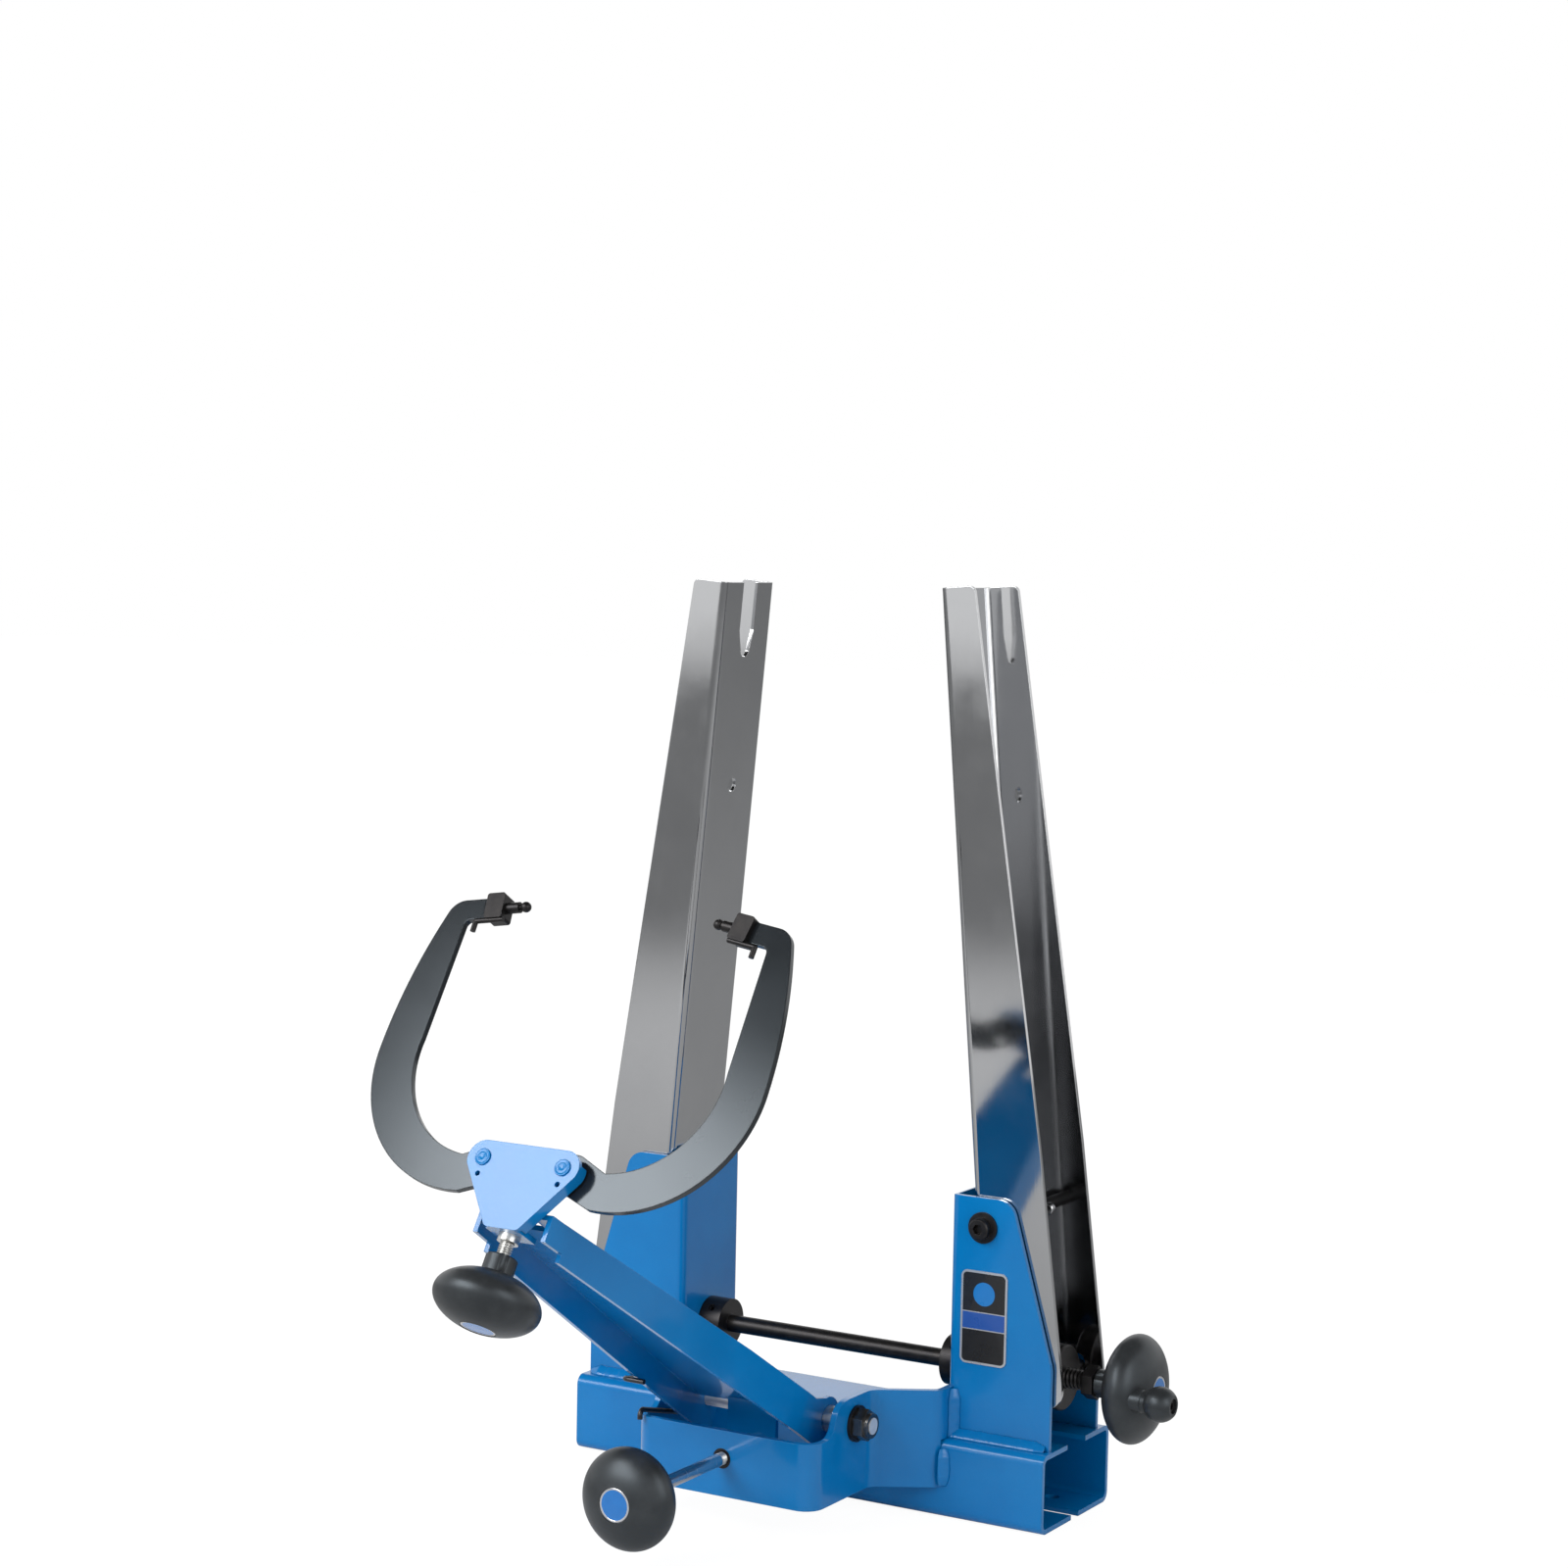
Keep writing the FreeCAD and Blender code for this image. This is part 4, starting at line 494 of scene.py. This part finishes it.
spindle_height = 85.3 * mm
left_end, left_nose, right_end = -180.0 * mm, -179.0 * mm, 194.8 * mm
journal_in, journal_out = 79.8 * mm, 104.0 * mm
rod_radius, journal_radius = 5.5 * mm, 6.5 * mm
spindle_thread = (6.35 * mm, 0.9 * mm)
spindle_pitch = 2.54 * mm
on_spindle = Matrix.Translation((0, 0, spindle_height)) @ Matrix.Rotation(math.pi / 2.0, 4, "Y")
spindle_rod = threaded("spindle_rod", [
    (left_end, left_nose, 5.6 * mm, 0, 0),
    (left_nose, -journal_out, *spindle_thread, -spindle_pitch),
    (-journal_out, -journal_in, journal_radius, 0, 0),
    (-journal_in, journal_in, rod_radius, 0, 0),
    (journal_in, journal_out, journal_radius, 0, 0),
    (journal_out, right_end, *spindle_thread, spindle_pitch)], on_spindle, [black], segments=48)
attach(spindle_rod, "spindle")
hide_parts("spindle")


# Main knob: a moulded black mushroom on a fluted hub, with a blue cap disc in a silver ring and a
# turned spinner handle on its own screw.
plastic = Finish("moulded_black", Roughness=0.36, Specular_IOR_Level=0.5,
                 Specular_Tint=(0.8, 0.91, 1.0, 1.0))
skin = plastic.grain(1800.0, 2.0)
scuff = plastic.grain(60.0, 4.0, 0.6)
plastic_tone = plastic.blend(scuff.over(0.6, 0.3), (0.018, 0.0195, 0.021, 1.0), (0.03, 0.032, 0.034, 1.0))
plastic.feed(Base_Color=plastic_tone, Roughness=0.3 + 0.12 * scuff)
plastic.relief(skin, 0.00005, 0.35)
cap_blue = Finish("cap_blue", Roughness=0.22, Coat_Weight=0.5)
cap_blue_tone = cap_blue.blend(cap_blue.grain(240.0), (0.004, 0.13, 0.42, 1.0), (0.006, 0.16, 0.5, 1.0))
cap_blue.feed(Base_Color=cap_blue_tone)
cap_silver = Finish("cap_silver", Metallic=0.9, Roughness=0.25)
cap_silver_tone = cap_silver.blend(cap_silver.grain(300.0), (0.6, 0.6, 0.62, 1.0), (0.72, 0.72, 0.74, 1.0))
cap_silver.feed(Base_Color=cap_silver_tone)
knob_crown = 10.8 * mm
cap_radius = 10.0 * mm
cap_sink = 1.2 * mm
cap_rise = 1.0 * mm
flute_count = 4
flute_radius = 3.5 * mm
flute_far = 2.4 * mm
knob_swell = 16.5 * mm


def widest_at(radius, hub, hub_length):
    """How far a knob's widest circle stands from its hub face."""
    return hub_length + knob_swell * math.sqrt(1.0 - (hub / radius) ** 2)


def knob_piece(word, body, place, radius, hub, hub_length):
    """A knob with its hub face at the place's origin, growing along the place's Z."""
    centre = widest_at(radius, hub, hub_length)
    low = -math.acos(hub / radius)
    high = math.acos(knob_crown / radius)
    rows = 34
    profile = [(hub - 0.8 * mm, 0.0), (hub, 0.8 * mm), (hub, hub_length * 0.5), (hub, hub_length * 0.8)]
    for i in range(rows + 1):
        angle = low + (high - low) * i / rows
        profile.append((radius * math.cos(angle), centre + knob_swell * math.sin(angle)))
    top = profile[-1][1]
    base = top - cap_sink
    profile += [(cap_radius + 0.3 * mm, top + 0.15 * mm), (cap_radius, top - 0.2 * mm), (cap_radius, base)]

    def flute(reach, height, angle):
        if height > hub_length * 0.82 or reach < hub - 1.0 * mm:
            return reach
        far = hub + flute_far
        for i in range(flute_count):
            off = (angle - math.pi / 4.0 - i * math.pi / 2.0 + math.pi) % (2.0 * math.pi) - math.pi
            aside = far * math.sin(off)
            if abs(off) < 0.7 and flute_radius > abs(aside):
                reach = min(reach, far * math.cos(off) - math.sqrt(flute_radius ** 2 - aside ** 2))
        return reach

    shell = sharpen(turned(word + "_body", profile, place, [plastic], segments=128, shape=flute), 40.0)
    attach(shell, body)
    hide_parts(word)
    face = base + cap_rise
    disc_profile = [(cap_radius, base), (cap_radius, face - 0.2 * mm), (cap_radius - 0.3 * mm, face),
                    (8.9 * mm, face), (8.7 * mm, face - 0.15 * mm), (4.0 * mm, face - 0.05 * mm),
                    (0.4 * mm, face)]
    blue, silver_ring = 0, 1
    bands = [silver_ring] * 4 + [blue] * 3
    disc = sharpen(turned(word + "_disc", disc_profile, place, [cap_blue, cap_silver], marks=bands))
    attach(disc, body)
    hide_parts(word + "_cap")


main_hub_at = 180.3 * mm
main_hub = 8.5 * mm
on_main = Matrix.Translation((main_hub_at, 0, spindle_height)) @ Matrix.Rotation(math.pi / 2.0, 4, "Y")
knob_piece("main_knob", "spindle", on_main, radius=33.0 * mm, hub=main_hub, hub_length=main_hub)
dress(plastic, "spinner_handle")
dress(black, "spinner_screw")
boss_place = Vector((204.7 * mm, -22.0 * mm, 84.8 * mm))
boss_radius = 6.8 * mm
boss_corner = 0.4 * mm
spinner_bore = 2.6 * mm
boss_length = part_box("spinner_handle")[0][0] - 0.2 * mm - boss_place.x
on_boss = Matrix.Translation(boss_place) @ Matrix.Rotation(math.pi / 2.0, 4, "Y")
boss_profile = [(boss_radius, 0.0), (boss_radius, boss_length - boss_corner),
                (boss_radius - boss_corner, boss_length), (spinner_bore, boss_length)]
boss = sharpen(turned("spinner_boss", boss_profile, on_boss, [plastic]))
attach(boss, "spindle")


# Yoke: a bent 4 mm strip of the same blue-coated steel, welded to the front of the base and to the
# brackets. A black bush in its front face takes the lower screw.
dress(coat, "front_yoke")
dress(black, "lower_screw_bush")


# Arm pivot: an M10 bolt through the yoke's walls with black washers, a dark lock nut that leaves the
# bolt's bright end showing, and two spacers.
steel = Finish("plain_steel", Metallic=0.7, Roughness=0.44)
wear = steel.grain(260.0, 3.0)
steel.feed(Base_Color=steel.blend(wear, (0.72, 0.71, 0.69, 1.0), (0.86, 0.85, 0.83, 1.0)),
           Roughness=0.38 + 0.14 * wear)
nut_dark = Finish("darkened_steel", Metallic=1.0, Roughness=0.3)
rub = nut_dark.grain(260.0, 3.0)
nut_dark.feed(Base_Color=nut_dark.blend(rub, (0.09, 0.088, 0.085, 1.0), (0.19, 0.186, 0.18, 1.0)),
              Roughness=0.24 + 0.14 * rub)
nut_dark.relief(nut_dark.grain(1500.0, 1.0), 0.00004, 0.25, edge=0.35 * mm)
dress(steel, "arm_pivot_bolt")
dress(zinc, "arm_spacers")
dress(black, "arm_pivot_washers")
dress(nut_dark, "arm_pivot_nut")


# Arm spring: a torsion spring of 3.2 mm oiled wire round the left spacer that carries the arm's
# weight. Its lower leg hooks over the yoke, and its upper leg lies under the arm's edge.
spring_steel = Finish("oiled_spring_steel", Metallic=1.0, Roughness=0.34)
draw = spring_steel.grain(700.0, 3.0)
spring_tone = spring_steel.blend(draw, (0.035, 0.035, 0.038, 1.0), (0.085, 0.085, 0.09, 1.0))
spring_steel.feed(Base_Color=spring_tone, Roughness=0.28 + 0.15 * draw)
head_y, head_z = -347.2 * mm, 252.5 * mm
head_lean = math.radians(58.0)
arm_frame = Matrix.Translation((0, head_y, head_z)) @ Matrix.Rotation(head_lean, 4, "X")
wire = 3.2 * mm
coil_radius = 11.6 * mm
coil_middle = Vector((0, -88.0, 62.0)) * mm
yoke_front, yoke_top = -138.0 * mm, 59.0 * mm
hook_middle = Vector((0, yoke_front + wire * 0.375, yoke_top + wire * 0.1))
hook_radius = wire * 1.13
hook_span = coil_middle - hook_middle
lean = math.atan2(hook_span.z, hook_span.y) - math.asin((hook_radius + coil_radius) / hook_span.length)
arm_edge = -43.8 * mm
leg_gap = 0.35 * mm
leg_reach = -230.0 * mm
leg_end_x = -31.0 * mm
under_arm = arm_frame @ Vector((0, arm_edge - wire / 2.0 - leg_gap, leg_reach))
leg_span = under_arm - coil_middle
climb = math.atan2(leg_span.z, -leg_span.y) - math.asin(coil_radius / leg_span.length)
leg_along = Vector((0, -math.cos(climb), math.sin(climb)))
wound_from = math.atan2(-math.cos(lean), math.sin(lean))
wound = math.pi / 2.0 - climb - wound_from
while wound < 4.0 * math.pi:
    wound += 2.0 * math.pi
left_x, right_x = -56.9 * mm, -45.9 * mm


def drift(turned_by):
    """How far the wire has moved along the coil's axis, easing in and out over a quarter turn."""
    ramp = math.pi / 2.0
    slope = (right_x - left_x) / (wound - ramp)
    if turned_by < ramp:
        return slope * turned_by ** 2 / (2.0 * ramp)
    if turned_by > wound - ramp:
        return right_x - left_x - slope * (wound - turned_by) ** 2 / (2.0 * ramp)
    return slope * (turned_by - ramp / 2.0)


hook_out = hook_middle - y_axis * hook_radius
line = [Vector((left_x, hook_out.y, hook_out.z - wire * (0.6 - 0.15 * i))) for i in range(4)]
hook_turn = math.pi / 2.0 + lean
for i in range(9):
    angle = math.pi - hook_turn * i / 8.0
    line.append(Vector((left_x, hook_middle.y + hook_radius * math.cos(angle),
                        hook_middle.z + hook_radius * math.sin(angle))))
for i in range(161):
    turned_by = wound * i / 160.0
    angle = wound_from + turned_by
    line.append(coil_middle + Vector((left_x + drift(turned_by), coil_radius * math.cos(angle),
                                      coil_radius * math.sin(angle))))
corner = line[-1] + leg_along * (under_arm - line[-1]).dot(leg_along)
bend = wire * 1.3
bend_middle = corner - leg_along * bend + x_axis * bend
for i in range(9):
    angle = math.pi / 2.0 * i / 8.0
    line.append(bend_middle - x_axis * bend * math.cos(angle) + leg_along * bend * math.sin(angle))
line.append(Vector((leg_end_x, corner.y, corner.z)))


def tube_along(name, points, radius, finishes, ring=16):
    """A round wire along a line of points, its rings carried along without twist."""
    verts = []
    side = None
    for i, point in enumerate(points):
        ahead = (points[min(i + 1, len(points) - 1)] - points[max(i - 1, 0)]).normalized()
        side = side or ahead.orthogonal().normalized()
        side = (side - ahead * side.dot(ahead)).normalized()
        other = ahead.cross(side)
        for k in range(ring):
            angle = 2.0 * math.pi * k / ring
            verts.append(point + (side * math.cos(angle) + other * math.sin(angle)) * radius)
    faces = [(i * ring + k, i * ring + (k + 1) % ring, (i + 1) * ring + (k + 1) % ring, (i + 1) * ring + k)
             for i in range(len(points) - 1) for k in range(ring)]
    faces += [tuple(range(ring))[::-1], tuple((len(points) - 1) * ring + k for k in range(ring))]
    return sharpen(mesh_piece(name, verts, faces, finishes), 60.0)


spring = tube_along("arm_spring_wire", line, wire / 2.0, [spring_steel])
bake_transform(spring)
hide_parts("arm_spring")


# Arm: a tapered channel of the same blue sheet, with a folded head plate and a tab at its foot. The
# caliper pins are riveted flush in the plate and coated with it, nuts hold them behind.
dress(coat, "caliper_arm", "head_plate")
dress(zinc, "arm_push_pad", "caliper_pins", "upper_screw_bush")
dress(black, "caliper_nuts")
caliper_pivot_x = 26.0 * mm
rivet_face = [(4.75, 0.0), (4.75, 0.75), (4.5, 0.95), (4.1, 0.98), (3.9, 0.85),
              (2.4, 0.88), (2.2, 1.0), (1.9, 1.0), (1.7, 0.86), (0.3, 0.86)]
rivet = [(radius * mm, height * mm) for radius, height in rivet_face]
for side, word in sides:
    on_plate = arm_frame @ Matrix.Translation((side * caliper_pivot_x, 0, 0))
    face = turned(word + "_rivet", rivet, on_plate, [coat], segments=48)
    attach(face, "arm")


# Calipers: laser-cut steel hooks in a dark satin coat that swing on the head plate's pins. Their ends
# carry black tip blocks, points and feelers.
satin = Finish("dark_satin_coat", Roughness=0.17, Specular_IOR_Level=0.4,
               Specular_Tint=(0.78, 0.9, 1.0, 1.0), Coat_Weight=0.12, Coat_Roughness=0.12)
texture = satin.grain(1300.0, 2.0)
tone = satin.grain(35.0, 3.0)
satin.feed(Base_Color=satin.blend(tone, (0.008, 0.0095, 0.011, 1.0), (0.013, 0.0155, 0.018, 1.0)),
           Roughness=0.15 + 0.05 * tone)
satin.relief(texture, 0.00002, 0.15, edge=0.8 * mm)
dress(satin, "right_caliper", "left_caliper")
dress(black, "right_tip_block", "left_tip_block", "right_tip_pin", "left_tip_pin",
      "right_feeler", "left_feeler")


# Upper screw: an M8 zinc screw in the head plate's bush. Its black push block swings the calipers,
# and its knob is moulded like the main one.
dress(black, "upper_push_block")
screw_nose = (3.4 * mm, 0, 0)
screw_nose_length = 1.0 * mm
m8_radius = 4.0 * mm
m8_thread = (m8_radius, 0.6 * mm, 1.25 * mm)
small_knob = {"radius": 30.0 * mm, "hub": 9.0 * mm, "hub_length": 9.7 * mm}
small_hub_length = small_knob["hub_length"]
small_knob_middle = widest_at(**small_knob)
upper_screw_drop = -11.0 * mm
upper_start = 10.3 * mm
upper_hub = 75.6 * mm - small_knob_middle
up_along = arm_frame @ Matrix.Translation((0, 0, upper_screw_drop)) @ Matrix.Rotation(math.pi / 2.0, 4, "X")
upper_screw = threaded("upper_screw_thread", [
    (upper_start, upper_start + screw_nose_length, *screw_nose),
    (upper_start + screw_nose_length, upper_hub + small_hub_length, *m8_thread)], up_along, [zinc])
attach(upper_screw, "upper_screw")
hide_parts("upper_screw")
knob_piece("upper_knob", "upper_screw", up_along @ Matrix.Translation((0, 0, upper_hub)), **small_knob)


# Lower screw: a longer M8 zinc screw through the yoke's dark bush, threaded at its inner end and
# polished outside, with a domed zinc tip that pushes the arm and the same knob as the upper one.
polished = Finish("polished_shank", Metallic=1.0, Roughness=0.16)
turning = polished.grain(1.0, 2.0, at=polished.stretch(60.0, 4200.0, 60.0))
polished.feed(Base_Color=polished.blend(turning, (0.56, 0.56, 0.57, 1.0), (0.7, 0.7, 0.7, 1.0)),
              Roughness=0.2 + 0.1 * turning)
dress(zinc, "lower_thrust_tip")
lower_screw_height = 42.0 * mm
lower_start = -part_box("lower_screw")[1][1]
thread_end = 143.0 * mm
lower_hub = 238.0 * mm - small_knob_middle
low_along = Matrix.Translation((0, 0, lower_screw_height)) @ Matrix.Rotation(math.pi / 2.0, 4, "X")
lower_screw = threaded("lower_screw_thread", [
    (lower_start, lower_start + screw_nose_length, *screw_nose),
    (lower_start + screw_nose_length, thread_end, *m8_thread)], low_along, [zinc])
shank_profile = [(m8_radius - 0.5 * mm, thread_end), (m8_radius, thread_end + 0.4 * mm),
                 (m8_radius, lower_hub + small_hub_length)]
shank = sharpen(turned("lower_screw_shank", shank_profile, low_along, [polished]))
for part in (lower_screw, shank):
    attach(part, "lower_screw")
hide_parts("lower_screw")
knob_piece("lower_knob", "lower_screw", low_along @ Matrix.Translation((0, 0, lower_hub)), **small_knob)
